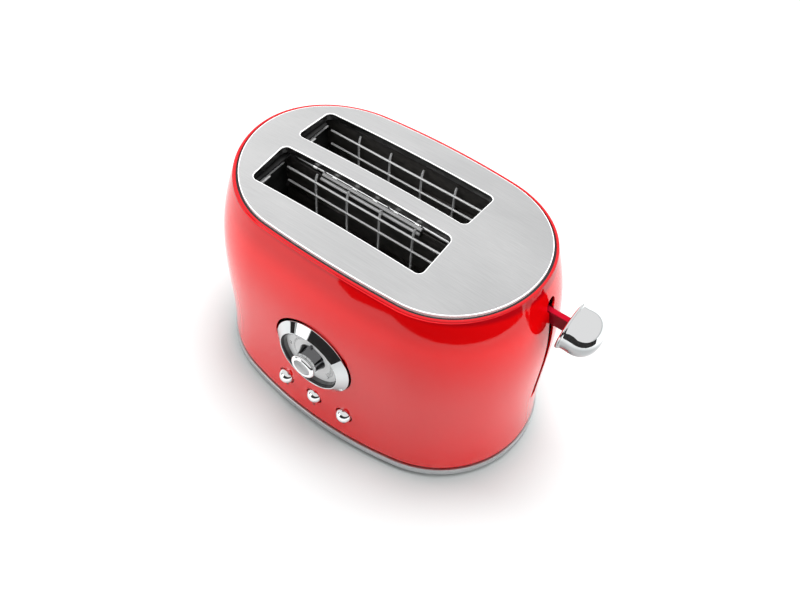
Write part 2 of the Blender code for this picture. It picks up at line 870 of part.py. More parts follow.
def make_guides():
    """Four wire guides. Each turns on its bottom wire, in holes of the end plates"""
    pin_start = far_plate_face - sheet_thickness
    pin_end = near_plate_face + sheet_thickness
    rail_start = slot_shift - slot_half_length + wire_radius
    rail_end = slot_shift + slot_half_length - wire_radius
    for slot in slot_centres:
        for name in ("inner", "outer"):
            y = guide_place(slot, name)
            away = math.copysign(1, y - slot_centres[slot])
            place = (slot_shift, y, guide_pivot_height)
            route = [(pin_start - slot_shift, 0, 0), (pin_end - slot_shift, 0, 0)]
            label = f"{slot}_{name}"
            guide = tube(f"wire_guide_{label}", route, wire_radius, steel_wire, 5, place)
            for number, drop in enumerate(guide_rail_drops):
                z = crown_height - drop - guide_pivot_height
                route = [(rail_start - slot_shift, 0, z), (rail_end - slot_shift, 0, z)]
                weld(guide, tube(f"{label}_rail_{number}", route, wire_radius, steel_wire, 5, place))
            start = away * wire_radius / 3
            bends = [crown_height - drop - guide_pivot_height for drop in hook_bend_drops]
            for number in range(guide_wire_count):
                x = (number - (guide_wire_count - 1) / 2) * guide_wire_pitch + guide_wire_shift
                route = [
                    (x, start, -wire_radius / 2),
                    (x, start, bends[0]),
                    (x, start + away * hook_reach / 3, bends[1]),
                    (x, away * hook_reach, bends[2]),
                ]
                tool = tube(f"{label}_wire_{number}", route, wire_radius, steel_wire, 4, place, up=(1, 0, 0))
                weld(guide, tool)


def make_carriage():
    """Frame, guide rod, spring, sliding carriage, bread racks and lever"""
    web = near_plate_face + sheet_thickness + seat_gap
    reach = web + frame_reach
    outline = [
        (web, frame_low),
        (reach, frame_low),
        (reach, frame_low + frame_thickness),
        (web + frame_thickness, frame_low + frame_thickness),
        (web + frame_thickness, frame_high),
        (reach, frame_high),
        (reach, frame_high + frame_thickness),
        (web, frame_high + frame_thickness),
    ]
    frame = prism("carriage_frame", outline, -frame_half_width, frame_half_width, steel_sheet, "y")
    hole = rod_radius + seat_gap
    profile = [(hole, frame_low - cut_overrun), (hole, frame_high + cut_overrun)]
    cut(frame, turned("frame_rod_hole", profile, steel_sheet, place=(*rod_place, 0), steps=12))
    profile = [
        (rod_radius, frame_low - rod_end),
        (rod_radius, frame_high + frame_thickness + seat_gap),
        (rod_radius + frame_thickness, frame_high + frame_thickness + seat_gap),
        (rod_radius + frame_thickness, frame_high + frame_thickness + rod_end),
    ]
    turned("guide_rod", profile, steel_wire, place=(*rod_place, 0), steps=12)

    wing = carriage_wing_half_width
    neck = carriage_neck_half_width
    wing_low = rack_low - (carriage_wing_height - rack_height) / 2
    wing_high = wing_low + carriage_wing_height
    neck_high = arm_centre_height + arm_height / 2 + carriage_neck_margin
    latch_edge = -latch_side - latch_width / 2
    outline = [
        (latch_edge, wing_low),
        (wing, wing_low),
        (wing, wing_high),
        (neck, wing_high + neck),
        (neck, neck_high),
        (-neck, neck_high),
        (-neck - spring_tab_width, spring_tab_high),
        (latch_edge, latch_height + latch_thickness * 2),
    ]
    carriage = prism("carriage", outline, carriage_face, carriage_back, steel_sheet, "x")
    bush_low = wing_low + latch_thickness
    profile = [(bush_radius, bush_low), (bush_radius, bush_low + bush_height)]
    weld(carriage, turned("carriage_bush", profile, steel_sheet, place=(*rod_place, 0), steps=12))
    half = rod_radius
    corner = (carriage_back - carriage_plate_thickness / 2, rod_side - half, bush_low + latch_thickness)
    other = (rod_place[0], rod_side + half, bush_low + bush_height - latch_thickness)
    weld(carriage, block("carriage_web", corner, other, steel_sheet))
    spring_side = -rod_side
    half = spring_tab_width / 2
    tab_low = spring_tab_high - frame_thickness
    corner = (carriage_back - carriage_plate_thickness / 2, spring_side - half, tab_low)
    other = (rod_place[0] + half, spring_side + half, spring_tab_high)
    weld(carriage, block("carriage_spring_tab", corner, other, steel_sheet))
    profile = [(hole, bush_low - cut_overrun), (hole, bush_low + bush_height + cut_overrun)]
    cut(carriage, turned("carriage_rod_hole", profile, steel_sheet, place=(*rod_place, 0), steps=12))

    make_spring((rod_place[0], spring_side), spring_tab_high + seat_gap, frame_high - seat_gap)
    make_racks()

    low = latch_height
    corner = (carriage_back + seat_gap, -latch_side - latch_width / 2, low)
    other = (carriage_back + latch_reach, -latch_side + latch_width / 2, low + latch_thickness)
    block("latch_plate", corner, other, steel_wire)


def make_spring(place, low, high):
    """Return spring: one unbroken wire, with a straight end at each end, square to its seat"""
    straight = 2 * spring_wire_radius
    points_per_turn = 8
    count = spring_turns * points_per_turn
    pitch = (high - low - 2 * straight) / spring_turns
    route = [(spring_radius, 0, 0)]
    for index in range(count + 1):
        angle = math.tau * index / points_per_turn
        height = straight + pitch * index / points_per_turn
        route.append((spring_radius * math.cos(angle), spring_radius * math.sin(angle), height))
    route.append((spring_radius, 0, high - low))
    curve = bpy.data.curves.new("carriage_spring", "CURVE")
    curve.dimensions = "3D"
    curve.bevel_depth = spring_wire_radius
    curve.bevel_resolution = 0
    curve.use_fill_caps = True
    curve.materials.append(steel_wire)
    spline = curve.splines.new("POLY")
    spline.points.add(len(route) - 1)
    for point, spot in zip(spline.points, route):
        point.co = (*spot, 1)
    spring = bpy.data.objects.new("carriage_spring", curve)
    spring.location = (*place, low)
    bpy.context.collection.objects.link(spring)
    print("spring: gap between turns", round(pitch - 2 * spring_wire_radius, 5))


def make_racks():
    """Bread racks: an upright strip with tabs bent to both sides along its top edge"""
    low_x = far_plate_face - sheet_thickness - rack_tail
    high_x = carriage_face - seat_gap
    first = slot_shift - slot_half_length + rack_tab_length
    pitch = (slot_length - 3 * rack_tab_length) / (rack_tab_count - 1)
    half = rack_thickness / 2
    for slot, centre in slot_centres.items():
        strip_top = rack_low + rack_height
        corner = (low_x, centre - half, rack_low)
        rack = block(f"bread_rack_{slot}", corner, (high_x, centre + half, strip_top), steel_wire)
        for number in range(rack_tab_count):
            side = 1 if number % 2 else -1
            x = first + number * pitch
            edges = sorted((centre, centre + side * rack_tab_reach))
            corner = (x, edges[0], strip_top - rack_tab_thickness * 2)
            other = (x + rack_tab_length, edges[1], strip_top - rack_tab_thickness)
            weld(rack, block(f"{slot}_tab_{number}", corner, other, steel_wire))


def make_lever():
    """Flat red arm through the shell's slot, and a hollow chromed bell on its end"""
    low = arm_centre_height - arm_height / 2
    high = arm_centre_height + arm_height / 2
    half = arm_thickness / 2
    inside_end = lever_knob_plane + lever_knob_length - lever_knob_wall - lever_socket_wall * 2
    corner = (carriage_back + seat_gap, -half, low)
    block("lever_arm", corner, (inside_end, half, high), red_enamel)

    radius = lever_knob_radius
    length = lever_knob_length
    shoulder = length * 0.42
    profile = [(radius - lever_bead, 0), (radius, lever_bead * 0.4), (radius, lever_bead * 1.2)]
    profile.append((radius - lever_bead, lever_bead * 2))
    profile.append((radius - lever_bead * 1.3, shoulder))
    dome = radius - lever_bead * 1.3
    steps = 5
    for index in range(1, steps + 1):
        angle = math.pi / 2 * index / steps
        rise = shoulder + (length - shoulder) * math.sin(angle)
        profile.append((dome * math.cos(angle) if index < steps else 0, rise))
    wall = lever_knob_wall
    inner = dome - wall
    for index in range(steps, -1, -1):
        angle = math.pi / 2 * index / steps
        rise = shoulder + (length - wall - shoulder) * math.sin(angle)
        profile.append((inner * math.cos(angle) if index < steps else 0, rise))
    profile.append((inner, 0))
    place = (lever_knob_plane, 0, arm_centre_height)
    knob = turned("lever_knob", profile, chrome, "x", place, 20, closed=True)
    half_y = half + seat_gap + lever_socket_wall
    half_z = arm_height / 2 + seat_gap + lever_socket_wall
    start = lever_knob_plane + wall
    end = lever_knob_plane + length - wall / 2 - dome * (1 - math.cos(math.asin(half_z / dome)))
    corner = (start, -half_y, arm_centre_height - half_z)
    weld(knob, block("knob_socket", corner, (end, half_y, arm_centre_height + half_z), chrome))
    gap = seat_gap
    corner = (start - cut_overrun, -half - gap, low - gap)
    cut(knob, block("knob_socket_hole", corner, (inside_end + gap, half + gap, high + gap), chrome))


def power_board_middle():
    x = near_plate_face + sheet_thickness + power_board_start + power_board_length / 2
    y = -power_board_near - power_board_width / 2
    return x, y


def power_board_posts():
    """Two posts carry the board"""
    x, y = power_board_middle()
    reach = power_board_length / 2 - post_radius
    return [(x - reach, y), (x + reach, y)]


def make_electrics():
    """Power board with the switch block, and the holding magnet under the latch plate"""
    x, y = power_board_middle()
    half_x = power_board_length / 2
    half_y = power_board_width / 2
    low = power_board_height
    board_top = low + board_thickness
    block("power_board", (x - half_x, y - half_y, low), (x + half_x, y + half_y, board_top), board_green)
    seat = board_top + seat_gap
    magnet_top = latch_height - carriage_travel - seat_gap
    start = carriage_back + magnet_inset
    end = start + magnet_span
    half = latch_width / 2
    outline = [
        (start, seat),
        (end, seat),
        (end, magnet_top),
        (end - magnet_leg, magnet_top),
        (end - magnet_leg, seat + magnet_leg),
        (start + magnet_leg, seat + magnet_leg),
        (start + magnet_leg, magnet_top),
        (start, magnet_top),
    ]
    side = -latch_side
    prism("magnet_core", outline, side - half, side + half, steel_sheet, "y")

    low = seat + magnet_leg + seat_gap
    high = magnet_top - coil_flange
    centre = (start + magnet_leg / 2, side)
    gap = seat_gap
    inner = (magnet_leg / 2 + gap, half + gap)
    rings = []
    for grow, height in (
        (0, low),
        (coil_wall, low),
        (coil_wall, low + coil_flange),
        (coil_wall - coil_flange, low + coil_flange),
        (coil_wall - coil_flange, high - coil_flange),
        (coil_wall, high - coil_flange),
        (coil_wall, high),
        (0, high),
    ):
        reach_x, reach_y = inner[0] + grow, inner[1] + grow
        low_corner = (centre[0] - reach_x, centre[1] - reach_y)
        high_corner = (centre[0] + reach_x, centre[1] + reach_y)
        rings.append([(*corner, height) for corner in rectangle(low_corner, high_corner)])
    skin("magnet_coil", rings, copper, closed=True)

    corner = (x - half_x + coil_flange, y - half_y + coil_flange, seat)
    other = (corner[0] + switch_block_length, corner[1] + switch_block_length, seat + switch_block_height)
    block("switch_block", corner, other, black_plastic)


def make_dial():
    """Conical bezel on a sleeve that stands on the board, dial face, potentiometer, its shaft
    and the knob with a pointer"""
    plane = dial_plane()
    mouth = bezel_depth
    shoulder = mouth - face_recess + seat_gap
    board_front = control_board_plane + seat_gap - plane
    rebate = face_radius + seat_gap
    profile = [
        (bezel_radius - bezel_lip / 3, 0),
        (bezel_radius, bezel_lip / 2),
        (bezel_radius - bezel_lip / 2, bezel_lip),
        (bezel_rim_radius, mouth),
        (bezel_mouth_radius, mouth),
        (bezel_mouth_radius, shoulder),
        (rebate, shoulder),
        (rebate, board_front),
        (bezel_sleeve_radius, board_front),
        (bezel_sleeve_radius, 0),
    ]
    place = (0, -plane, dial_height)
    turned("dial_bezel", profile, chrome, "y", place, 28, closed=True)
    face_front = mouth - face_recess
    face_back = face_front - face_thickness
    hole = shaft_radius + shaft_hole_margin
    profile = [(hole, face_back), (face_radius, face_back), (face_radius, face_front), (hole, face_front)]
    turned("dial_face", profile, brushed_steel, "y", place, 24, closed=True)

    pot_front = board_front + pot_length
    profile = [
        (0, board_front),
        (pot_radius, board_front),
        (pot_radius, pot_front - shaft_radius / 2),
        (hole * 1.5, pot_front - shaft_radius / 2),
        (hole * 1.5, pot_front),
        (0, pot_front),
    ]
    turned("potentiometer", profile, black_plastic, "y", place, 16)
    knob_back = face_front + seat_gap
    profile = [
        (0, pot_front + seat_gap),
        (shaft_radius, pot_front + seat_gap),
        (shaft_radius, knob_back + knob_bore_depth),
        (0, knob_back + knob_bore_depth),
    ]
    turned("dial_shaft", profile, steel_wire, "y", place, 12)

    bore = shaft_radius + seat_gap
    top = knob_back + knob_length
    profile = [
        (bore, knob_back),
        (knob_radius - knob_edge / 2, knob_back),
        (knob_radius, knob_back + knob_edge),
        (knob_waist_radius, knob_back + knob_length * 0.55),
        (knob_cap_radius, top - knob_edge),
        (knob_cap_radius - knob_edge, top),
        (knob_cap_radius * 0.62, top),
        (knob_cap_radius * 0.52, top - knob_edge / 2),
        (0, top - knob_edge / 2),
        (0, knob_back + knob_bore_depth + seat_gap),
        (bore, knob_back + knob_bore_depth + seat_gap),
    ]
    knob = turned("dial_knob", profile, chrome, "y", place, 20, closed=True)
    half = pointer_width / 2
    corner = (-half, -knob_back - pointer_height, bore + knob_edge)
    other = (half, -knob_back - pointer_height / 8, knob_radius + pointer_reach)
    weld(knob, block("knob_pointer", corner, other, chrome, place))


def dial_plane():
    """The bezel's flange stands just clear of the proudest part of the wall behind it"""
    low = wall_reach(dial_height - bezel_radius)
    high = wall_reach(dial_height)
    return max(low, high) + seat_gap


def button_places():
    return [-button_spacing, 0, button_spacing]


def make_buttons():
    """Three ball-ended buttons in a carrier, each in front of a small switch on the board"""
    wall = wall_reach(button_height)
    ball_centre = wall - button_radius + button_stand_out + button_radius / 2
    board_front = control_board_plane + seat_gap
    switch_front = board_front + tact_height
    plunger_front = switch_front + tact_plunger_height
    stem_back = plunger_front + seat_gap + button_travel
    steps = 6
    for name, x in zip(("cancel", "reheat", "defrost"), button_places()):
        place = (x, -ball_centre, button_height)
        profile = [(0, stem_back - ball_centre), (stem_radius, stem_back - ball_centre)]
        base_angle = math.asin(stem_radius / button_radius)
        for index in range(steps + 1):
            angle = math.pi - base_angle - (math.pi - base_angle) * index / steps
            radius = button_radius * math.sin(angle) if index < steps else 0
            profile.append((radius, button_radius * math.cos(angle)))
        turned(f"{name}_button", profile, chrome, "y", place, 14)
        half = tact_side / 2
        body = (x - half, -switch_front, button_height - half)
        switch = block(f"{name}_switch", body, (x + half, -board_front, button_height + half), black_plastic)
        profile = [(tact_plunger_radius, -tact_height / 2), (tact_plunger_radius, tact_plunger_height)]
        place = (x, -switch_front, button_height)
        weld(switch, turned(f"{name}_plunger", profile, black_plastic, "y", place, 10))

    board_back = control_board_plane - board_thickness
    low = button_height - control_board_below_buttons
    high = dial_height + bezel_sleeve_radius + control_board_margin
    corner = (-control_board_half_width, -control_board_plane, low)
    block("control_board", corner, (control_board_half_width, -board_back, high), board_green)

    front = carrier_plane + carrier_thickness / 2
    back = carrier_plane - carrier_thickness / 2
    leg = carrier_leg_width
    foot = ledge_top + seat_gap
    half = carrier_half_width
    low = button_height - carrier_half_height
    high = button_height + carrier_half_height
    outline = [
        (-half, foot),
        (-half + leg, foot),
        (-half + leg, low),
        (half - leg, low),
        (half - leg, foot),
        (half, foot),
        (half, high),
        (-half, high),
    ]
    carrier = prism("button_carrier", outline, -front, -back, black_plastic, "y")
    hole = stem_radius + seat_gap
    for number, x in enumerate(button_places()):
        profile = [(hole, -cut_overrun), (hole, cut_overrun)]
        place = (x, -carrier_plane, button_height)
        cut(carrier, turned(f"carrier_hole_{number}", profile, black_plastic, "y", place, 12))
    for side in (-1, 1):
        x = side * (half - leg / 2)
        corner = (x - leg / 2, -carrier_plane, high - leg)
        other = (x + leg / 2, -board_front, high)
        weld(carrier, block(f"carrier_arm_{side}", corner, other, black_plastic))


def make_tray():
    """Crumb tray that slides out of the far end, under the end plate, on two rails"""
    end = near_plate_face - seat_gap - sheet_thickness
    half = tray_half_width
    panel_radius = base_end_radius + tray_panel_stand_out
    middle = -(base_half_length - base_end_radius)

    def arc(radius, half_width, steps=9):
        spread = math.asin(half_width / radius)
        return circle((middle, 0), radius, steps, math.pi - spread, 2 * spread)

    inner_radius = panel_radius - tray_panel_thickness
    outline = arc(inner_radius + tray_panel_thickness / 2, half) + [(end, -half), (end, half)]
    tray = prism("crumb_tray", outline, tray_floor_height, tray_top, steel_sheet)
    panel = arc(panel_radius, tray_panel_half_width) + arc(inner_radius, tray_panel_half_width)[::-1]
    low = tray_floor_height - seat_gap
    high = tray_top + tray_sheet
    weld(tray, prism("tray_panel", panel, low, high, silver_ring))
    wall = tray_sheet
    cavity = arc(inner_radius, half - wall) + [(end - wall, -half + wall), (end - wall, half - wall)]
    high = tray_top + cut_overrun
    cut(tray, prism("tray_cavity", cavity, tray_floor_height + wall, high, steel_sheet))
    grip_low = (tray_floor_height + tray_top) / 2 - tray_grip_thickness / 2
    grip = arc(panel_radius + tray_grip_reach, tray_grip_half_width)
    grip += arc(panel_radius - tray_panel_thickness / 2, tray_grip_half_width)[::-1]
    weld(tray, prism("tray_grip", grip, grip_low, grip_low + tray_grip_thickness, silver_ring))

    rail_top = tray_floor_height - seat_gap
    foot = cover_top + seat_gap
    start = far_plate_face + sheet_thickness
    for side, sign in (("front", -1), ("back", 1)):
        y = sign * (half - rail_inset)
        outline = [
            (y, foot),
            (y, rail_top),
            (y - sign * rail_foot, rail_top),
            (y - sign * rail_foot, rail_top - rail_thickness),
            (y - sign * rail_thickness, rail_top - rail_thickness),
            (y - sign * rail_thickness, foot),
        ]
        prism(f"tray_rail_{side}", outline, start, end, steel_sheet, "x")


def make_gland():
    """Rubber bush where the supply lead goes in, low on the back wall"""
    y = gland_wall()
    flange = seat_gap + gland_flange
    profile = [
        (gland_bore_radius, -flange),
        (gland_flange_radius - gland_flange / 2, -flange),
        (gland_flange_radius, -flange + gland_flange / 2),
        (gland_flange_radius, -seat_gap),
        (gland_radius, -seat_gap),
        (gland_radius, gland_length),
        (gland_bore_radius, gland_length),
    ]
    turned("cord_gland", profile, black_rubber, "y", (gland_side, y, gland_height), 14, closed=True)


def gland_wall():
    """The gland's flange stands clear of the curved wall that it is set in"""
    reach = gland_side - gland_flange_radius
    centre = base_half_length - base_end_radius
    side_radius = base_half_width**2 + centre**2 - base_end_radius**2
    side_radius /= 2 * (base_half_width - base_end_radius)
    return wall_reach(gland_height) - side_radius + math.sqrt(side_radius**2 - reach**2)


def centre_on_table():
    """Moves the toaster so that the origin is the middle of its box, on the table"""
    bpy.context.view_layer.update()
    graph = bpy.context.evaluated_depsgraph_get()
    corners = []
    for piece in bpy.data.objects:
        if not piece.hide_render:
            solid = piece.evaluated_get(graph)
            corners += [solid.matrix_world @ vertex.co for vertex in solid.to_mesh().vertices]
            solid.to_mesh_clear()
    shift = Vector((0, 0, 0))
    for axis in (0, 1):
        values = [corner[axis] for corner in corners]
        shift[axis] = -(min(values) + max(values)) / 2
    for piece in bpy.data.objects:
        piece.location = piece.location + shift
    print("origin moved by", [round(value, 6) for value in shift])


make_shell()
make_top_plate()
make_base()
make_chambers()
make_guides()
make_carriage()
make_lever()
make_electrics()
make_dial()
make_buttons()
make_tray()
make_gland()
centre_on_table()
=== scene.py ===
import math

import bmesh
import bpy
from mathutils import Matrix, Vector


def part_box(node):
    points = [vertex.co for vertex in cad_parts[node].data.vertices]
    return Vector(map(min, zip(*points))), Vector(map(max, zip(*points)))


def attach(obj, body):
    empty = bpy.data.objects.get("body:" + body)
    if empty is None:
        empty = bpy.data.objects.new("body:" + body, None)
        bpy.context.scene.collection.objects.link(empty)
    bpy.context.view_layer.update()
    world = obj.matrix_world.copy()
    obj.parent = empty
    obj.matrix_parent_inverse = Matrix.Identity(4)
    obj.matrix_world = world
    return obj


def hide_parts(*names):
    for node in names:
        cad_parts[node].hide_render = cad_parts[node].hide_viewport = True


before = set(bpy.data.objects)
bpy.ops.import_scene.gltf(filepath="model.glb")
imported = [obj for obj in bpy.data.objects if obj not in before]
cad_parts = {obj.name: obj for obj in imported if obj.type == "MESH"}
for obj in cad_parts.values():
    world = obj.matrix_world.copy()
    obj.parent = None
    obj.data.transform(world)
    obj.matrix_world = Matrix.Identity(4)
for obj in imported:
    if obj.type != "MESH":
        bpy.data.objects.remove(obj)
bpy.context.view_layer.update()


# Camera and frame
# The toaster is seen from above its front right corner. Everything below is built in metres
# round the middle of the shell, at the height of the table, and then set down where the CAD
# has it.

shell_low_corner, shell_high_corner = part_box("shell")
middle = Vector(
    (
        (shell_low_corner.x + shell_high_corner.x) / 2,
        (shell_low_corner.y + shell_high_corner.y) / 2,
        0,
    )
)

view_turn = math.radians(38.62)
view_rise = math.radians(50.89)
aim_point = middle + Vector((0.02145, -0.07529, 0.1855))
camera_distance = 0.54749
towards_camera = Vector(
    (
        math.cos(view_rise) * math.sin(view_turn),
        -math.cos(view_rise) * math.cos(view_turn),
        math.sin(view_rise),
    )
)
across_view = Vector((math.cos(view_turn), math.sin(view_turn), 0))
up_view = towards_camera.cross(across_view)
camera_axes = Matrix((across_view, up_view, towards_camera)).transposed().to_4x4()

camera = bpy.data.objects.new("camera", bpy.data.cameras.new("camera"))
bpy.context.scene.collection.objects.link(camera)
bpy.context.scene.camera = camera
camera.data.sensor_width = 36
camera.data.lens = 40.5
camera.data.shift_x = 0.0695
camera.data.shift_y = -0.0283
camera.data.clip_start = 0.01
camera.data.clip_end = 50
camera.matrix_world = Matrix.Translation(aim_point + towards_camera * camera_distance) @ camera_axes
bpy.context.scene.view_settings.view_transform = "Standard"
bpy.context.scene.view_settings.look = "None"


# Shell
# The body is one pressed and welded steel sheet, bulged like a barrel, with its rim rolled in
# round the top plate, and a thick, glossy red enamel baked on. Its holes are for the dial, the
# buttons, the lever, the cord's gland and the crumb tray. Painted shade darkens the enamel in a
# band under the rim, standing in for a dark reflection, and more on the rolled rim.

# Each oval is a half length, a half width and an end radius
foot_oval = (0.1305, 0.0848, 0.0789)
rim_oval = (0.1181, 0.0709, 0.0692)
seam_oval = (0.1150, 0.0680, 0.0661)
seam_shift = 0.0008
foot_height = 0.0123
rim_drop = 0.0015
belly = 0.0075
belly_rise = 1.8
sheet_thickness = 0.0012
crown_height = 0.1855
crown_fall_along, crown_fall_across = 0.005, 0.0086
crown_reach_along, crown_reach_across = 0.1134, 0.0662


def oval(half_length, half_width, end_radius, end_steps=24, side_steps=10):
    """A rounded oval whose end arcs meet flatter side arcs smoothly"""
    centre = half_length - end_radius
    side_radius = (half_width**2 + centre**2 - end_radius**2) / (2 * (half_width - end_radius))
    meeting = math.atan2(side_radius - half_width, centre)
    quarter = []
    for index in range(end_steps):
        angle = meeting * index / end_steps
        quarter.append((centre + end_radius * math.cos(angle), end_radius * math.sin(angle)))
    for index in range(side_steps):
        angle = meeting + (math.pi / 2 - meeting) * index / side_steps
        rise = half_width - side_radius + side_radius * math.sin(angle)
        quarter.append((side_radius * math.cos(angle), rise))
    points = quarter + [(0, half_width)]
    points += [(-x, y) for x, y in reversed(quarter[1:])]
    points += [(-x, -y) for x, y in quarter] + [(0, -half_width)]
    points += [(x, -y) for x, y in reversed(quarter[1:])]
    return points


def crown(x, y):
    """Height of the domed top over a point"""
    fall_along = crown_fall_along * (x / crown_reach_along) ** 2
    fall_across = crown_fall_across * (y / crown_reach_across) ** 2
    return crown_height - fall_along - fall_across


def seam_ring(grow, drop):
    """A ring that follows the crown, out from the seam of shell and plate and down from the top"""
    ring = oval(*[size + grow for size in seam_oval])
    return [(x, y + seam_shift, crown(x, y + seam_shift) - drop) for x, y in ring]


def shell_ring(level, inset=0.0):
    """A ring of the wall, from its foot at level 0 to its rim at level 1"""
    swell = belly * math.sin(math.pi * level**belly_rise) - inset
    sizes = [foot + (rim - foot) * level + swell for foot, rim in zip(foot_oval, rim_oval)]
    ring = []
    for x, y in oval(*sizes):
        top = crown(x, y) - rim_drop
        ring.append((x, y, foot_height + level * (top - foot_height)))
    return ring


def foot_ring(grow, height):
    """A level ring, out from the foot of the wall"""
    return [(x, y, height) for x, y in oval(*[size + grow for size in foot_oval])]


def put(name, mesh, finish, body, place=(0, 0, 0), sharp=34):
    """Adds a piece at its place, smooth but for its sharp edges, riding on a body"""
    mesh.materials.clear()
    mesh.materials.append(finish.material)
    mesh.shade_smooth()
    mesh.set_sharp_from_angle(angle=math.radians(sharp))
    piece = bpy.data.objects.new(name, mesh)
    piece.location = middle + Vector(place)
    bpy.context.scene.collection.objects.link(piece)
    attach(piece, body)
    return piece


def skin(rings, closed=False):
    """A mesh between matching rings, capped unless closed; a ring of one point is a pole"""
    form = bmesh.new()
    rows = [[form.verts.new(point) for point in ring] for ring in rings]
    pairs = list(zip(rows, rows[1:]))
    if closed:
        pairs.append((rows[-1], rows[0]))
    for first, second in pairs:
        count = max(len(first), len(second))
        if count == 1:
            continue
        for index in range(count):
            following = (index + 1) % count
            corners = [first[index % len(first)], first[following % len(first)]]
            corners += [second[following % len(second)], second[index % len(second)]]
            form.faces.new(list(dict.fromkeys(corners)))
    if not closed:
        for row in (rows[0], rows[-1]):
            if len(row) > 2:
                form.faces.new(row)
    bmesh.ops.recalc_face_normals(form, faces=form.faces)
    mesh = bpy.data.meshes.new("skin")
    form.to_mesh(mesh)
    form.free()
    return mesh


axis_turns = {
    "x": Matrix(((0, 0, 1), (1, 0, 0), (0, 1, 0))),
    "y": Matrix(((1, 0, 0), (0, 0, -1), (0, 1, 0))),
    "z": Matrix.Identity(3),
}


def turned(profile, axis="z", steps=64, closed=False, place=(0, 0, 0)):
    """A mesh turned from (radius, height) points; heights run along +X, -Y or +Z"""
    rings = []
    for radius, height in profile:
        count = steps if radius else 1
        ring = []
        for index in range(count):
            angle = math.tau * index / steps
            point = Vector((radius * math.cos(angle), radius * math.sin(angle), height))
            ring.append(axis_turns[axis] @ point + Vector(place))
        rings.append(ring)
    return skin(rings, closed)


def arc(centre, radius, start, end, steps):
    """Points along an arc, angles in degrees"""
    points = []
    for index in range(steps + 1):
        angle = math.radians(start + (end - start) * index / steps)
        points.append((centre[0] + radius * math.cos(angle), centre[1] + radius * math.sin(angle)))
    return points


def rectangle(low, high):
    """Corners of a rectangle between its low and its high corner"""
    return [low, (high[0], low[1]), high, (low[0], high[1])]


def prism(outline, low, high, axis="z"):
    """A mesh extruded from an outline in (y, z), (x, z) or (x, y)"""
    order = {
        "x": lambda point, along: (along, point[0], point[1]),
        "y": lambda point, along: (point[0], along, point[1]),
        "z": lambda point, along: (point[0], point[1], along),
    }[axis]
    return skin([[order(point, along) for point in outline] for along in (low, high)])


def worked(mesh, tools, operation="DIFFERENCE"):
    """The mesh with each tool cut out of it or joined to it"""
    base = bpy.data.objects.new("blank", mesh)
    bpy.context.scene.collection.objects.link(base)
    helpers = []
    for tool in tools:
        helper = bpy.data.objects.new("tool", tool)
        bpy.context.scene.collection.objects.link(helper)
        helpers.append(helper)
        step = base.modifiers.new("work", "BOOLEAN")
        step.operation = operation
        step.solver = "EXACT"
        step.object = helper
    bpy.context.view_layer.update()
    solid = base.evaluated_get(bpy.context.evaluated_depsgraph_get())
    result = bpy.data.meshes.new_from_object(solid)
    for item in [base, *helpers]:
        bpy.data.objects.remove(item)
    return result


class Link:
    """A value, colour or vector on its way through a finish's nodes. Sums on it add Math nodes."""

    def __init__(self, finish, socket):
        self.finish = finish
        self.socket = socket

    def sum(self, operation, first, second):
        return self.finish.node("ShaderNodeMath", {"operation": operation}, {0: first, 1: second})

    def __add__(self, other):
        return self.sum("ADD", self, other)

    __radd__ = __add__

    def __sub__(self, other):
        return self.sum("SUBTRACT", self, other)

    def __rsub__(self, other):
        return self.sum("SUBTRACT", other, self)

    def __mul__(self, other):
        return self.sum("MULTIPLY", self, other)

    __rmul__ = __mul__

    def __pow__(self, other):
        return self.sum("POWER", self, other)

    def above(self, low, high):
        """0 below low, 1 above high, and a smooth step between"""
        return self.finish.node(
            "ShaderNodeMapRange",
            {"interpolation_type": "SMOOTHSTEP"},
            {"Value": self, "From Min": low, "From Max": high},
        )


class Finish:
    """A Principled material, and the nodes that vary it over the surface"""

    def __init__(self, name, colour, roughness, metallic=0.0):
        self.material = bpy.data.materials.new(name)
        self.material.use_nodes = True
        self.tree = self.material.node_tree
        self.shader = self.tree.nodes["Principled BSDF"]
        self.shader.inputs["Base Color"].default_value = (*colour, 1)
        self.shader.inputs["Roughness"].default_value = roughness
        self.shader.inputs["Metallic"].default_value = metallic

    def node(self, kind, settings, inputs, output=0):
        """One node: its settings are set first, then the values or links of its sockets"""
        node = self.tree.nodes.new(kind)
        for name, value in settings.items():
            setattr(node, name, value)
        for key, value in inputs.items():
            if isinstance(value, Link):
                self.tree.links.new(value.socket, node.inputs[key])
            else:
                node.inputs[key].default_value = value
        return Link(self, node.outputs[output])

    def spot(self, stretch=(1, 1, 1)):
        """The place on the piece in metres, with each axis stretched"""
        place = self.node("ShaderNodeTexCoord", {}, {}, "Object")
        return self.node("ShaderNodeMapping", {}, {"Vector": place, "Scale": stretch})

    def along(self, axis):
        """How far along X, Y or Z the place is, in metres"""
        return self.node("ShaderNodeSeparateXYZ", {}, {"Vector": self.spot()}, axis)

    def noise(self, scale, stretch=(1, 1, 1), detail=3.0, rough=0.55):
        """Cloudy noise; scale is in features for each metre"""
        inputs = {"Vector": self.spot(stretch), "Scale": scale}
        inputs |= {"Detail": detail, "Roughness": rough}
        return self.node("ShaderNodeTexNoise", {}, inputs, "Fac")

    def mix(self, share, first, second):
        """A colour between two others"""
        colours = [value if isinstance(value, Link) else (*value, 1) for value in (first, second)]
        settings = {"data_type": "RGBA"}
        return self.node("ShaderNodeMix", settings, {0: share, 6: colours[0], 7: colours[1]}, 2)

    def feed(self, **links):
        """Joins links to the shader's sockets, named with underscores"""
        for name, link in links.items():
            self.tree.links.new(link.socket, self.shader.inputs[name.replace("_", " ").title()])

    def relief(self, height, depth, strength):
        """Raises the surface where height is high; depth is in metres"""
        inputs = {"Height": height, "Distance": depth, "Strength": strength}
        self.feed(normal=self.node("ShaderNodeBump", {}, inputs))


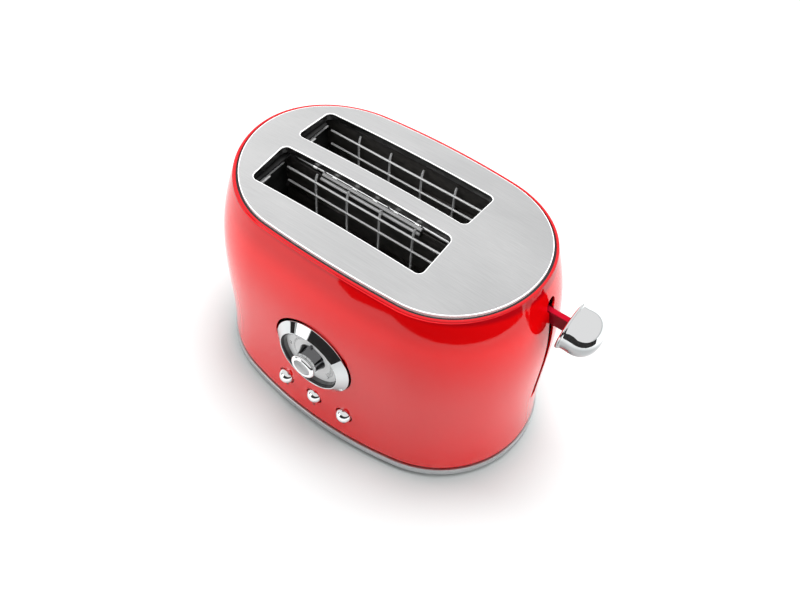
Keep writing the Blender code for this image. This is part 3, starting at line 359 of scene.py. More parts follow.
enamel = Finish("red_enamel", (0.80, 0.001, 0.002), 0.05)
cloud = enamel.noise(9, detail=2)
red_tone_and_painted_shade = enamel.mix(cloud.above(0.3, 0.7), (0.84, 0.001, 0.002), (0.80, 0.001, 0.002))
# Painted shade: the red is darkened from 148 mm up, under the rim, and darker still on the rolled
# rim
enamel_height = enamel.along("Z")
red_tone_and_painted_shade = enamel.mix(enamel_height.above(0.148, 0.166), red_tone_and_painted_shade, (0.62, 0.001, 0.002))
red_tone_and_painted_shade = enamel.mix(enamel_height.above(0.171, 0.175), red_tone_and_painted_shade, (0.36, 0.001, 0.004))
enamel.feed(base_color=red_tone_and_painted_shade)
haze = enamel.noise(60, detail=4)
enamel.feed(roughness=0.04 + haze.above(0.45, 0.8) * 0.03)
enamel.relief(enamel.noise(90, detail=1), 0.00001, 0.1)

# Outside from the soft edge at the foot to the rim, over the roll, and down inside it
wall_rings = 47
first_level = 0.35
wall = [foot_ring(-0.0006, foot_height), foot_ring(-0.00015, foot_height + 0.00025)]
for index in range(wall_rings):
    wall.append(shell_ring((index + first_level) / (wall_rings - 1 + first_level)))
roll_centre, roll_radius = (0.00215, -0.0017), 0.0010
wall += [seam_ring(grow, -rise) for grow, rise in arc(roll_centre, roll_radius, 14, 180, 12)]
flange_near, flange_far = 0.00115, 0.0018
flange_low, flange_high = 0.0062, 0.0033
wall += [seam_ring(flange_near, flange_low), seam_ring(flange_far, flange_low)]
wall.append(seam_ring(flange_far, flange_high))
wall += [shell_ring(level, sheet_thickness) for level in (0.93, 0.84, 0.73, 0.6, 0.46, 0.3, 0.14)]
hem_width, hem_top = 0.007, 0.0135
wall += [foot_ring(-sheet_thickness, hem_top), foot_ring(-hem_width, hem_top)]
wall.append(foot_ring(-hem_width, foot_height))
shell_mesh = skin(wall, closed=True)


def keyhole(side, half, low, top, bulb):
    """Upright slot with a round, wider top, in (y, z)"""
    spread = math.degrees(math.asin(half / bulb))
    points = arc((side, top - bulb), bulb, -90 + spread, 270 - spread, 20)
    return points + arc((side, low + half), half, 180, 360, 10)


front_cut, back_cut = (0.07, 0.1), (-0.1, -0.07)
lever_end_cut, far_end_cut = (0.1, 0.15), (-0.15, -0.1)
dial_height = 0.09
dial_hole_radius = 0.0324
dial_hole_shift, dial_hole_stretch = -0.0009, 1.045
button_places = {"cancel": -0.0284, "reheat": -0.001, "defrost": 0.0264}
button_height = 0.0368
button_hole_radius = 0.0071
gland_place = (0.045, 0, 0.026)
gland_hole_radius = 0.0063
tray_hole = rectangle((-0.0466, 0.0148), (0.0466, 0.0226))
lever_hole = keyhole(side=0.0060, half=0.0033, low=0.055, top=0.1640, bulb=0.0054)

dial_hole_outline = [(dial_hole_radius, height) for height in front_cut]
dial_hole = turned(dial_hole_outline, "y", 72, place=(0, 0, dial_height))
stretch = Matrix.Diagonal((dial_hole_stretch, 1, 1, 1))
dial_hole.transform(Matrix.Translation((dial_hole_shift, 0, 0)) @ stretch)
holes = [dial_hole]
for x in button_places.values():
    outline = [(button_hole_radius, height) for height in front_cut]
    holes.append(turned(outline, "y", 32, place=(x, 0, button_height)))
holes.append(prism(lever_hole, *lever_end_cut, "x"))
gland_hole_outline = [(gland_hole_radius, height) for height in back_cut]
holes.append(turned(gland_hole_outline, "y", 32, place=gland_place))
holes.append(prism(tray_hole, *far_end_cut, "x"))
shell_piece = put("shell_enamelled", worked(shell_mesh, holes), enamel, "housing")
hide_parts("shell")


# Top plate
# A crowned oval of brushed stainless steel, its outer edge turned down inside the shell's rim
# over a black rubber ring that is painted shade for the dark gap. The plate is painted lighter
# towards the far end. Each bread slot has a lip folded down from the same sheet, its fold painted
# bright as a highlight and its inside painted dark as shade, and small tabs of it, painted as
# bright, sit over the front slot.

brushed = Finish("brushed_top_plate", (0.78, 0.785, 0.785), 0.36, 1.0)
brushed.shader.inputs["Anisotropic"].default_value = 0.35
lines = brushed.noise(1, (30, 2600, 900), detail=4, rough=0.7)
broad = brushed.noise(14, (1, 1.6, 1), detail=2)
# Painted shade: beside the brushed grain, the plate is painted lighter towards the far end and
# darker towards the lever
grain_and_painted_shade = lines * 0.6 + broad * 0.4 + (0.02 - brushed.along("X")) * 1.1
brushed.feed(base_color=brushed.mix(grain_and_painted_shade.above(0.2, 0.8), (0.71, 0.715, 0.72), (0.96, 0.96, 0.96)))
brushed.feed(roughness=0.31 + lines.above(0.3, 0.8) * 0.1)
brushed.relief(lines, 0.00003, 0.25)

plate_inset = 0.0012
plate_thickness = 0.0012
top_rows = []
for share in (0.08, 0.2, 0.32, 0.44, 0.56, 0.66, 0.76, 0.84, 0.9, 0.95):
    row = oval(*[size * share for size in seam_oval])
    top_rows.append([(x, y + seam_shift, crown(x, y + seam_shift)) for x, y in row])
edge_rows = [seam_ring(-plate_inset, 0), seam_ring(-plate_inset, plate_thickness)]
under_rows = []
for row in (top_rows[-1], top_rows[4], top_rows[0]):
    under_rows.append([(x, y, z - plate_thickness) for x, y, z in row])
plate_mesh = skin(top_rows + edge_rows + under_rows)

slot_centres = {"front": -0.02465, "back": 0.02465}
slot_along, slot_across = -0.0158, 0.0004
slot_half_length, slot_half_width, slot_corner = 0.0707, 0.0179, 0.0045
slot_side_steps = 14


def slot_outline(centre_y, grow):
    """Outline of a bread slot, with small corner arcs and points along its long sides"""
    half_x, half_y, radius = slot_half_length + grow, slot_half_width + grow, slot_corner + grow
    reach = half_x - radius
    points = []
    for sign_x, sign_y, start in ((1, 1, 0), (-1, 1, 90), (-1, -1, 180), (1, -1, 270)):
        centre = (sign_x * reach, sign_y * (half_y - radius))
        points += arc(centre, radius, start, start + 90, 8)
        if sign_y == sign_x:
            for index in range(1, slot_side_steps):
                share = 1 - 2 * index / slot_side_steps
                points.append((sign_x * reach * share, sign_y * half_y))
    return [(x + slot_along, y + centre_y + slot_across) for x, y in points]


def slot_ring(centre_y, grow, drop):
    """A slot's outline that follows the crown"""
    return [(x, y, crown(x, y) - drop) for x, y in slot_outline(centre_y, grow)]


def together(meshes):
    """One mesh from several"""
    form = bmesh.new()
    for mesh in meshes:
        form.from_mesh(mesh)
    joined = bpy.data.meshes.new("joined")
    form.to_mesh(joined)
    form.free()
    return joined


slot_cut_margin = 0.0006
slot_tools = []
for centre_y in slot_centres.values():
    slot_tools.append(prism(slot_outline(centre_y, slot_cut_margin), 0.15, 0.2))
plate = put("top_plate_brushed", worked(plate_mesh, slot_tools), brushed, "housing")
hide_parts("top_plate")

# Painted highlight: the folds of the lips, the plate's edge and the tabs are the plate's steel
# painted far brighter, to show bright lines
lip_painted_highlight = Finish("folded_slot_lip_painted_highlight", (0.97, 0.97, 0.97), 0.3, 0.35)
worn = lip_painted_highlight.noise(300, (0.2, 1, 1), detail=3)
lip_painted_highlight.feed(roughness=0.24 + worn.above(0.35, 0.7) * 0.12)
# Painted shade: the insides of the lips and the dial's recess wall are the same steel painted
# nearly black, for the shade and dark reflection in them
dark_steel_painted_shade = Finish("lip_wall_painted_shade", (0.2, 0.2, 0.2), 0.3, 1.0)
shade_mottle = dark_steel_painted_shade.noise(200, (0.2, 1, 1), detail=3)
dark_steel_painted_shade.feed(base_color=dark_steel_painted_shade.mix(shade_mottle, (0.1, 0.1, 0.1), (0.3, 0.3, 0.3)))
dark_steel_painted_shade.relief(shade_mottle, 0.00002, 0.3)

fold_radius = 0.00045
fold_drop = 0.0004
edge_profile = arc((-0.0009, -fold_drop), fold_radius, 110, 0, 8)
edge_profile += [(-0.0004, -0.005), (-0.0011, -0.005), (-0.0014, -0.0016)]
edge_mesh = skin([seam_ring(grow, -rise) for grow, rise in edge_profile], closed=True)
edge_piece = put("top_plate_edge", edge_mesh, lip_painted_highlight, "housing", sharp=60)

lip_profile = arc((fold_radius, -fold_drop), fold_radius, 80, 180, 6)
lip_profile += [(0, -0.0007), (slot_cut_margin, -0.0007)]
lip_wall_profile = [(0.0001, -0.0008), (0.0001, -0.0058), (0.0004, -0.0061)]
lip_wall_profile += [(0.0007, -0.0061), (0.0009, -0.0058), (0.0009, -0.0008)]
for side, centre_y in slot_centres.items():
    for name, profile, finish in (
        (f"slot_lip_{side}", lip_profile, lip_painted_highlight),
        (f"slot_lip_wall_{side}", lip_wall_profile, dark_steel_painted_shade),
    ):
        rings = [slot_ring(centre_y, grow, -rise) for grow, rise in profile]
        lip = put(name, skin(rings, closed=True), finish, "housing", sharp=60)

tab_count, tab_start, tab_pitch, tab_half_width = 6, -0.0585, 0.0172, 0.0016
tab_low, tab_high = 0.1779, 0.1791
tab_front, tab_back = -0.0077, -0.0066
tabs = []
for number in range(tab_count):
    x = tab_start + number * tab_pitch
    tab = rectangle((x - tab_half_width, tab_low), (x + tab_half_width, tab_high))
    tabs.append(prism(tab, tab_front, tab_back, "y"))
tab_piece = put("slot_lip_tabs", together(tabs), lip_painted_highlight, "housing")

rubber = Finish("moulded_rubber", (0.018, 0.018, 0.019), 0.72)
crumb = rubber.noise(900, detail=4)
rubber.feed(roughness=0.62 + crumb.above(0.3, 0.7) * 0.2)
rubber.relief(crumb, 0.00008, 0.5)
# Painted shade: a black rubber ring under the plate's edge stands in for the shade in the gap
# between plate and rim
gap_shade_profile = rectangle((-0.0003, 0.0022), (0.0011, 0.0045))
gap_shade_mesh = skin([seam_ring(grow, drop) for grow, drop in gap_shade_profile], closed=True)
gap_shade_ring = put("top_plate_gap_shade", gap_shade_mesh, rubber, "housing")


# Base ring, cover and feet
# The shell stands on a satin silver ring with a narrow dark gap over it. A pressed steel cover
# closes the bottom, held by four screws, and four rubber feet are pushed into it.

satin = Finish("satin_base_ring", (0.60, 0.61, 0.62), 0.33, 1.0)
grain = satin.noise(1, (300, 300, 4000), detail=3, rough=0.7)
satin.feed(roughness=0.27 + grain.above(0.3, 0.7) * 0.12)
satin.feed(base_color=satin.mix(satin.noise(25), (0.56, 0.57, 0.58), (0.66, 0.665, 0.67)))
satin.relief(grain, 0.00002, 0.2)

ring_overhang, ring_edge_radius = 0.0003, 0.0007
ring_low, ring_high = 0.0040, 0.0097
ledge_inset, ledge_top = -0.0035, 0.012
web_inset, web_low = -0.0121, 0.0075
skirt_inset = -0.0016
low_edge = (ring_overhang, ring_low + ring_edge_radius)
high_edge = (ring_overhang, ring_high - ring_edge_radius)
ring_profile = arc(low_edge, ring_edge_radius, -90, 0, 5)
ring_profile += arc(high_edge, ring_edge_radius, 0, 90, 5)
ring_profile += [(ledge_inset, ring_high), (ledge_inset, ledge_top), (web_inset, ledge_top)]
ring_profile += [(web_inset, web_low), (skirt_inset, web_low), (skirt_inset, ring_low)]
ring_mesh = skin([foot_ring(*spot) for spot in ring_profile], closed=True)
screw_hole = [(0.0017, 0.003), (0.0017, 0.0101)]
screw_holes = []
for x, y in ((-0.1224, 0), (0, 0.0767), (0.1224, 0), (0, -0.0767)):
    screw_holes.append(turned(screw_hole, steps=16, place=(x, y, 0)))
ring_piece = put("base_ring_satin", worked(ring_mesh, screw_holes), satin, "housing")
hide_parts("base_ring")


def refinish(finish, *nodes):
    """Gives CAD pieces a fuller material than the one they came with"""
    for name in nodes:
        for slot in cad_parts[name].material_slots:
            slot.material = finish.material


sheet = Finish("zinc_coated_sheet", (0.42, 0.425, 0.43), 0.45, 1.0)
spangle = sheet.node(
    "ShaderNodeTexVoronoi",
    {"feature": "SMOOTH_F1"},
    {"Vector": sheet.spot(), "Scale": 160, "Smoothness": 0.4},
    "Distance",
)
sheet.feed(base_color=sheet.mix(spangle.above(0.1, 0.8), (0.36, 0.365, 0.37), (0.50, 0.505, 0.51)))
sheet.feed(roughness=0.38 + sheet.noise(40).above(0.3, 0.7) * 0.18)
sheet.relief(spangle, 0.00003, 0.3)
refinish(sheet, "bottom_cover", "tray_rail_front", "tray_rail_back")
refinish(rubber, "foot_lever_front", "foot_lever_back", "foot_far_front", "foot_far_back")

plated = Finish("plated_wire", (0.95, 0.955, 0.96), 0.2, 0.6)
drawn = plated.noise(500, (0.05, 1, 1), detail=3)
plated.feed(roughness=0.14 + drawn.above(0.3, 0.7) * 0.14)
plated.relief(drawn, 0.00001, 0.3)
refinish(plated, "base_screw_1", "base_screw_2", "base_screw_3", "base_screw_4")


# Toasting chambers
# Two dark heat-treated steel reflectors and two end plates box in the slots. Three mica cards
# stand between them, each wound with a flat ribbon that glows. A folded channel with bright
# ridges caps the middle card, and the far end plate's bent flanges have bright edges.

scorched = Finish("heat_darkened_steel", (0.03, 0.03, 0.03), 0.5, 0.6)
stain = scorched.noise(26, (1, 1, 2), detail=5).above(0.35, 0.7)
scorched.feed(base_color=scorched.mix(stain, (0.012, 0.012, 0.012), (0.05, 0.05, 0.05)))
scorched.feed(roughness=0.4 + scorched.noise(120).above(0.3, 0.7) * 0.2)
scorched.relief(scorched.noise(240, detail=2), 0.00006, 0.4)
refinish(scorched, "reflector_front", "reflector_back")
refinish(scorched, "end_plate_lever", "end_plate_far", "heater_top_channel")

mica = Finish("mica_board", (0.03, 0.028, 0.025), 0.5)
flake = mica.noise(1, (180, 180, 600), detail=6, rough=0.7)
mica.feed(base_color=mica.mix(flake.above(0.3, 0.7), (0.008, 0.008, 0.007), (0.06, 0.055, 0.05)))
mica.feed(roughness=0.4 + flake.above(0.35, 0.75) * 0.3)
mica.relief(flake, 0.00005, 0.4)
refinish(mica, "heater_card_front", "heater_card_middle", "heater_card_back")

ribbon = Finish("heater_ribbon", (0.2, 0.19, 0.18), 0.34, 1.0)
oxide = ribbon.noise(130, detail=4)
ribbon.feed(base_color=ribbon.mix(oxide.above(0.35, 0.75), (0.12, 0.11, 0.10), (0.3, 0.28, 0.27)))
ribbon.relief(oxide, 0.00002, 0.3)
refinish(ribbon, "heater_ribbon_front", "heater_ribbon_middle", "heater_ribbon_back")

bright = Finish("bright_sheet", (0.9, 0.9, 0.9), 0.3, 0.6)
rolled = bright.noise(1, (40, 900, 900), detail=4)
bright.feed(base_color=bright.mix(rolled.above(0.3, 0.7), (0.84, 0.84, 0.84), (0.97, 0.97, 0.97)))
bright.feed(roughness=0.24 + rolled.above(0.3, 0.7) * 0.16)
bright.relief(rolled, 0.00003, 0.3)


def wires(name, routes, radius, finish, body):
    """Round wires along routes of points, as one piece"""
    curve = bpy.data.curves.new(name, "CURVE")
    curve.dimensions = "3D"
    curve.bevel_depth = radius
    curve.bevel_resolution = 3
    curve.use_fill_caps = True
    curve.materials.append(finish.material)
    for route in routes:
        spline = curve.splines.new("POLY")
        spline.points.add(len(route) - 1)
        for point, spot in zip(spline.points, route):
            point.co = (*spot, 1)
    piece = bpy.data.objects.new(name, curve)
    piece.location = middle
    bpy.context.scene.collection.objects.link(piece)
    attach(piece, body)
    return piece


ridge_radius = 0.0013
ridge_far, ridge_near = -0.0573, 0.0273
ridges = []
for y, z in ((-0.0004, 0.1674), (-0.0026, 0.1652)):
    ridges.append([(ridge_far, y, z), (ridge_near, y, z)])
ridge_piece = wires("heater_channel_ridges", ridges, ridge_radius, bright, "housing")

chamber_centre, chamber_front, chamber_back = 0.0247, 0.0135, 0.0165
strip_edge = -0.0874
strip_low, strip_high = 0.1668, 0.1676
wide_strip, narrow_strip = 0.0026, 0.0009
strips = []
for centre_y in (-chamber_centre, chamber_centre):
    front, back = centre_y - chamber_front, centre_y + chamber_back
    for low_y, high_y, width in ((front, centre_y, wide_strip), (centre_y, back, narrow_strip)):
        outline = rectangle((strip_edge, low_y), (strip_edge + width, high_y))
        strips.append(prism(outline, strip_low, strip_high))
strip_piece = put("end_plate_flange_edges", together(strips), bright, "housing")


# Wire guides
# Each slot has two frames of plated wire that lean in and hold the bread. Upright wires with
# bent tops are spot welded to the rails, and the bottom wire is the hinge.

guide_reach = 0.0187
guide_wire_radius = 0.0009
hinge_far, hinge_near, hinge_height = -0.0935, 0.0605, 0.03
rail_far, rail_near = -0.0856, 0.0526
rail_heights = (0.149, 0.162)
upright_middle, upright_pitch = -0.018, 0.028
weld_offset = 0.0004
upright_low, upright_high = 0.0295, 0.1622
bent_top = ((0.0003, 0.1642), (0.0009, 0.1662), (0.0017, 0.1677), (0.0022, 0.1684))
for slot_name, centre_y in slot_centres.items():
    outward = 1 if slot_name == "back" else -1
    for side, reach in (("inner", -guide_reach), ("outer", guide_reach)):
        y = centre_y + outward * reach
        away = math.copysign(1, y - centre_y)
        routes = [[(hinge_far, y, hinge_height), (hinge_near, y, hinge_height)]]
        for height in rail_heights:
            routes.append([(rail_far, y, height), (rail_near, y, height)])
        for number in range(4):
            x = upright_middle + (number - 1.5) * upright_pitch
            upright_y = y + away * weld_offset
            route = [(x, upright_y, upright_low), (x, upright_y, upright_high)]
            for lean, height in bent_top:
                route.append((x, upright_y + away * lean, height))
            routes.append(route)
        body = f"guide_{slot_name}_{side}"
        guide = wires(f"wire_{body}_plated", routes, guide_wire_radius, plated, body)
        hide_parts(f"wire_{body}")


# Carriage and bread racks
# A steel plate slides on an upright rod at the lever end. It carries the two toothed bread
# racks, the latch plate and the lever, and a coil spring draws it up.

refinish(sheet, "carriage_frame", "carriage")
refinish(plated, "bread_rack_front", "bread_rack_back", "latch_plate")
refinish(plated, "carriage_spring", "guide_rod")


# Lever
# A flat red arm, set up and sideways behind the wall, comes out through the keyhole slot. Its
# end carries a hollow bell, pressed and chromed, with a rolled bead round its mouth. Its chrome
# is tinted darker below, where the real one mirrors a darker room.

arm_side = 0.0064
arm_half_width = 0.0022
arm_inner, arm_inner_end, arm_outer, arm_tip = 0.0668, 0.0868, 0.1010, 0.1563
inner_low, inner_high = 0.13275, 0.14725
outer_low, outer_high = 0.1424, 0.1538
arm_rings = []
for x, side, low, high in (
    (arm_inner, 0, inner_low, inner_high),
    (arm_inner_end, 0, inner_low, inner_high),
    (arm_outer, arm_side, outer_low, outer_high),
    (arm_tip, arm_side, outer_low, outer_high),
):
    section = rectangle((-arm_half_width, low), (arm_half_width, high))
    arm_rings.append([(x, side + y, z) for y, z in section])
arm_red = Finish("red_arm_paint", (0.3, 0.002, 0.012), 0.2)
arm_red.shader.inputs["Specular IOR Level"].default_value = 0.06
orange_peel = arm_red.noise(300, detail=2)
arm_red.feed(roughness=0.16 + orange_peel.above(0.3, 0.7) * 0.1)
arm_red.relief(orange_peel, 0.00002, 0.2)
arm = put("lever_arm_red", skin(arm_rings), arm_red, "carriage")
soften = arm.modifiers.new("soft_edges", "BEVEL")
soften.width = 0.0006
soften.segments = 3
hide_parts("lever_arm")


def chromed(name, colour):
    """Polished chrome plate with a faint film on it"""
    finish = Finish(name, colour, 0.03, 1.0)
    film = finish.noise(55, detail=4)
    finish.feed(roughness=0.02 + film.above(0.45, 0.85) * 0.04)
    finish.relief(finish.noise(240, detail=1), 0.00001, 0.05)
    return finish


bell_chrome = chromed("bell_chrome", (0.9, 0.905, 0.91))
bell_height = bell_chrome.along("Z")
low_share = bell_height.above(0.1416, 0.1440)
low_tone = bell_chrome.mix(low_share, (0.05, 0.05, 0.052), (0.42, 0.425, 0.43))
high_share = bell_height.above(0.1500, 0.1545)
bell_chrome.feed(base_color=bell_chrome.mix(high_share, low_tone, (0.93, 0.935, 0.94)))

bell_place = (0.1382, arm_side, 0.1491)
bell_radius = 0.0159
bead_radius, neck_radius = 0.0011, 0.0016
bell_neck = 0.01575
dome_start, dome_depth = 0.0095, 0.0138
hollow_radius, hollow_start, hollow_depth = 0.0135, 0.0093, 0.0120
bell = arc((bell_radius, bead_radius), bead_radius, -90, 75, 8)
bell += arc((0.0173, 0.0036), neck_radius, 250, 190, 4)
bell += [(bell_neck, 0.006), (bell_radius, 0.0085)]
for degrees in range(4, 90, 6):
    angle = math.radians(degrees)
    out, rise = math.cos(angle) ** 0.9, math.sin(angle) ** 0.95
    bell.append((bell_radius * out, dome_start + dome_depth * rise))
bell += [(0, dome_start + dome_depth), (0, hollow_start + hollow_depth)]
for degrees in range(82, 0, -10):
    angle = math.radians(degrees)
    out, rise = math.cos(angle), math.sin(angle)
    bell.append((hollow_radius * out, hollow_start + hollow_depth * rise))
bell += [(0.0136, 0.008), (0.0148, 0.0004), (0.0156, 0)]
bell_mesh = turned(bell, "x", 72, closed=True, place=bell_place)
mouth_lean, lean_start, lean_fade = 0.1, 0.138, 0.0105
for corner in bell_mesh.vertices:
    fade = max(0, 1 - (corner.co.x - lean_start) / lean_fade)
    corner.co.x += mouth_lean * (corner.co.z - bell_place[2]) * fade
bell_knob = put("lever_knob_chrome", bell_mesh, bell_chrome, "carriage", sharp=50)
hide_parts("lever_knob")


# Dial
# A chromed conical bezel is let into the front wall. It frames a sunk, spun metal face with
# printed numbers, with a black ring and a dark steel wall round it, both painted shade for the
# shadowed recess. A smoked chrome knob with a small pointer turns in the middle, capped by a
# bright cup with a plain disc in it.

dial_y = -0.0834
dial_place = (0, dial_y, dial_height)
knob_place = (0, dial_y + 0.0005, dial_height)
bezel_edge, bezel_slope = 0.0005, 54
bezel_radius, mouth_radius, mouth_height = 0.0317, 0.02525, 0.0053
recess_radius = 0.0245
bezel_chrome = chromed("bezel_chrome", (0.66, 0.665, 0.67))
cone = arc((bezel_radius, bezel_edge), bezel_edge, 0, bezel_slope, 4)
cone += [(0.0318, 0.00104), (0.02573, 0.00556)]
cone += arc((mouth_radius, mouth_height), bezel_edge, bezel_slope, 180, 6)
cone += [(recess_radius, 0.001), (recess_radius, -0.0005), (0.0266, -0.0005)]
cone += [(0.0266, -0.0193), (0.029, -0.0193), (0.029, -0.0024), (bezel_radius, -0.0024)]
cone += [(0.0321, -0.002), (0.0321, 0.0003)]
bezel_mesh = turned(cone, "y", 96, closed=True, place=dial_place)
bezel = put("dial_bezel_chrome", bezel_mesh, bezel_chrome, "housing", sharp=50)
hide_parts("dial_bezel")

black = Finish("moulded_black_plastic", (0.022, 0.022, 0.024), 0.48)
black.feed(roughness=0.4 + black.noise(300).above(0.3, 0.7) * 0.2)
black.relief(black.noise(1500, detail=2), 0.00004, 0.3)
# Painted shade: a black ring and a dark steel wall line the recess round the face
recess_shade_outline = [(0.0244, 0.0051), (0.0241, 0.0051), (0.0240, 0.0032), (0.0244, 0.0032)]
recess_shade_mesh = turned(recess_shade_outline, "y", 96, closed=True)
recess_shade_piece = put("dial_recess_painted_shade", recess_shade_mesh, black, "housing", dial_place)

recess_wall = [(0.0244, 0.0032), (0.0238, 0.0032), (0.0230, -0.0006), (0.0244, -0.0006)]
recess_mesh = turned(recess_wall, "y", 96, closed=True)
recess_piece = put("dial_recess_wall", recess_mesh, dark_steel_painted_shade, "housing", dial_place)

spun = Finish("spun_dial_face", (0.95, 0.95, 0.95), 0.4, 0.05)
across_face, up_face = spun.along("X"), spun.along("Z")
groove = spun.node(
    "ShaderNodeTexNoise",
    {"noise_dimensions": "1D"},
    {"W": (across_face * across_face + up_face * up_face) ** 0.5, "Scale": 2600, "Detail": 3},
    "Fac",
)
spun.feed(base_color=spun.mix(groove.above(0.3, 0.7), (0.88, 0.88, 0.885), (0.97, 0.97, 0.97)))
spun.feed(roughness=0.34 + groove.above(0.3, 0.7) * 0.12)
spun.relief(groove, 0.00001, 0.15)
face_back, face_step, face_front = -0.0023, -0.0008, 0.0006
face_profile = [(0.0035, face_back), (0.0262, face_back), (0.0262, face_step)]
face_profile += [(0.0235, face_step), (0.0232, face_front), (0.0035, face_front)]
face_mesh = turned(face_profile, "y", 96, closed=True)
face = put("dial_face_spun", face_mesh, spun, "housing", dial_place)
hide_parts("dial_face")

print_ink = Finish("dark_print", (0.035, 0.035, 0.04), 0.45)
print_ink.feed(roughness=0.4 + print_ink.noise(700).above(0.3, 0.7) * 0.2)
ink_half_thickness = 0.00003


def figure(text, size):
    """Flat printed figure, centred on its own middle, facing -Y"""
    curve = bpy.data.curves.new("figure", "FONT")
    curve.body = text
    curve.size = size
    curve.align_x = "CENTER"
    curve.align_y = "CENTER"
    curve.extrude = ink_half_thickness
    holder = bpy.data.objects.new("figure", curve)
    bpy.context.scene.collection.objects.link(holder)
    bpy.context.view_layer.update()
    flat = holder.evaluated_get(bpy.context.evaluated_depsgraph_get())
    mesh = bpy.data.meshes.new_from_object(flat)
    bpy.data.objects.remove(holder)
    mesh.transform(Matrix.Rotation(math.radians(90), 4, "X"))
    return mesh


first_mark = 225
numbers, number_step, number_size, number_radius = 7, 45, 0.0042, 0.0196
ticks_between, tick_half_width = 9, 0.00012
tick_inner, tick_outer, tick_growth = 0.0158, 0.0166, 0.00006
marks = []
for number in range(numbers):
    angle = math.radians(first_mark - number_step * number)
    mark = figure(str(number + 1), number_size)
    spot = (number_radius * math.cos(angle), 0, number_radius * math.sin(angle))
    mark.transform(Matrix.Translation(spot))
    marks.append(mark)
    if number + 1 == numbers:
        break
    for part in range(ticks_between):
        tick_turn = first_mark - number_step * (number + (part + 0.5) / ticks_between)
        reach = tick_outer + tick_growth * (number * ticks_between + part)
        outline = rectangle((tick_inner, -tick_half_width), (reach, tick_half_width))
        tick = prism(outline, -ink_half_thickness, ink_half_thickness, "y")
        tick.transform(Matrix.Rotation(-math.radians(tick_turn), 4, "Y"))
        marks.append(tick)
print_place = (0, dial_y - face_front - 0.00005, dial_height)
dial_print = put("dial_print", together(marks), print_ink, "housing", print_place, sharp=20)

knob_bore, knob_foot, knob_waist, knob_top = 0.0032, 0.0108, 0.0088, 0.0078
grip = [(knob_bore, 0), (knob_foot, 0)] + arc((0.0109, 0.0006), 0.0006, -90, 60, 5)
grip += [(knob_foot, 0.0020), (0.0096, 0.0046), (knob_waist, knob_top), (knob_bore, knob_top)]
pointer_outline = [(-0.0011, 0.0095), (0.0011, 0.0095), (0.0008, 0.0137), (-0.0008, 0.0137)]
pointer = prism(pointer_outline, -0.0026, -0.0004, "y")
smoked = Finish("smoked_chrome", (0.16, 0.16, 0.165), 0.08, 1.0)
smoked.feed(roughness=0.06 + smoked.noise(80).above(0.4, 0.8) * 0.08)
smoked.relief(smoked.noise(240, detail=1), 0.00001, 0.05)
knob_mesh = worked(turned(grip, "y", 72, closed=True), [pointer], "UNION")
knob_piece = put("dial_knob_chrome", knob_mesh, smoked, "dial", knob_place, sharp=50)
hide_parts("dial_knob")

chrome = chromed("chrome_plate", (0.95, 0.955, 0.96))
cup_bore, cup_floor = 0.0069, 0.0086
cup = [(0, knob_top), (0.0086, knob_top)] + arc((0.0078, 0.0113), 0.0021, -64, 120, 20)
cup += [(cup_bore, 0.0124), (cup_bore, cup_floor), (0, cup_floor)]
cap_piece = put("dial_knob_cap", turned(cup, "y", 72), chrome, "dial", knob_place, sharp=50)
disc_back, disc_front = cup_floor - 0.0001, 0.0094
disc = [(0, disc_back), (cup_bore, disc_back), (cup_bore, disc_front), (0, disc_front)]
disc_piece = put("dial_knob_insert", turned(disc, "y", 64), spun, "dial", knob_place)
refinish(plated, "dial_shaft")


# Push buttons
# Three chromed balls on short stems work small switches on the board behind the front wall.
# A small plain sign is printed under each: a square, a ring and a six-pointed star.

ball_radius, ball_centre = 0.0062, 0.0143
stem_radius, stem_back = 0.0022, 0.0068
ball_front = ball_centre + ball_radius
ball = [(0, stem_back), (stem_radius, stem_back), (stem_radius, 0.0083)]
ball += arc((0, ball_centre), ball_radius, -68, 86, 22) + [(0, ball_front)]
for name, x in button_places.items():
    cad_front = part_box(f"{name}_button")[0].y - middle.y
    place = (x, cad_front + ball_front, button_height)
    button = put(f"{name}_button_chrome", turned(ball, "y", 48), chrome, name, place)
    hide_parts(f"{name}_button")


rough_wall_y, front_side_y = -0.08, -0.05


def wall_y(x, z):
    """Where the front wall is, at a place across and up"""
    level = (z - foot_height) / (crown(x, rough_wall_y) - rim_drop - foot_height)
    ring = sorted((px, py) for px, py, pz in shell_ring(level) if py < front_side_y)
    for (first_x, first_y), (next_x, next_y) in zip(ring, ring[1:]):
        if first_x <= x <= next_x:
            return first_y + (next_y - first_y) * (x - first_x) / (next_x - first_x)
    return rough_wall_y


sign_height, sign_thickness, sign_stand_off = 0.0262, 0.0001, 0.00012
square_half, ring_outer, ring_inner = 0.0011, 0.0013, 0.0009
spoke_reach, spoke_half_width = 0.0013, 0.0002
square_x, ring_x, star_x = button_places.values()
square_low = (square_x - square_half, sign_height - square_half)
square_high = (square_x + square_half, sign_height + square_half)
signs = [prism(rectangle(square_low, square_high), 0, sign_thickness, "y")]
ring_rows = []
for radius, depth in rectangle((ring_outer, 0), (ring_inner, sign_thickness)):
    ring_rows.append([(x, depth, z) for x, z in arc((ring_x, sign_height), radius, 0, 345, 23)])
signs.append(skin(ring_rows, closed=True))
for number in range(3):
    outline = rectangle((-spoke_reach, -spoke_half_width), (spoke_reach, spoke_half_width))
    spoke = prism(outline, 0, sign_thickness, "y")
    spoke_turn = Matrix.Rotation(math.radians(60 * number), 4, "Y")
    spoke.transform(Matrix.Translation((star_x, 0, sign_height)) @ spoke_turn)
    signs.append(spoke)
sign_mesh = together(signs)
for corner in sign_mesh.vertices:
    corner.co.y += wall_y(corner.co.x, corner.co.z) - sign_stand_off
sign_piece = put("button_signs", sign_mesh, print_ink, "housing", sharp=20)

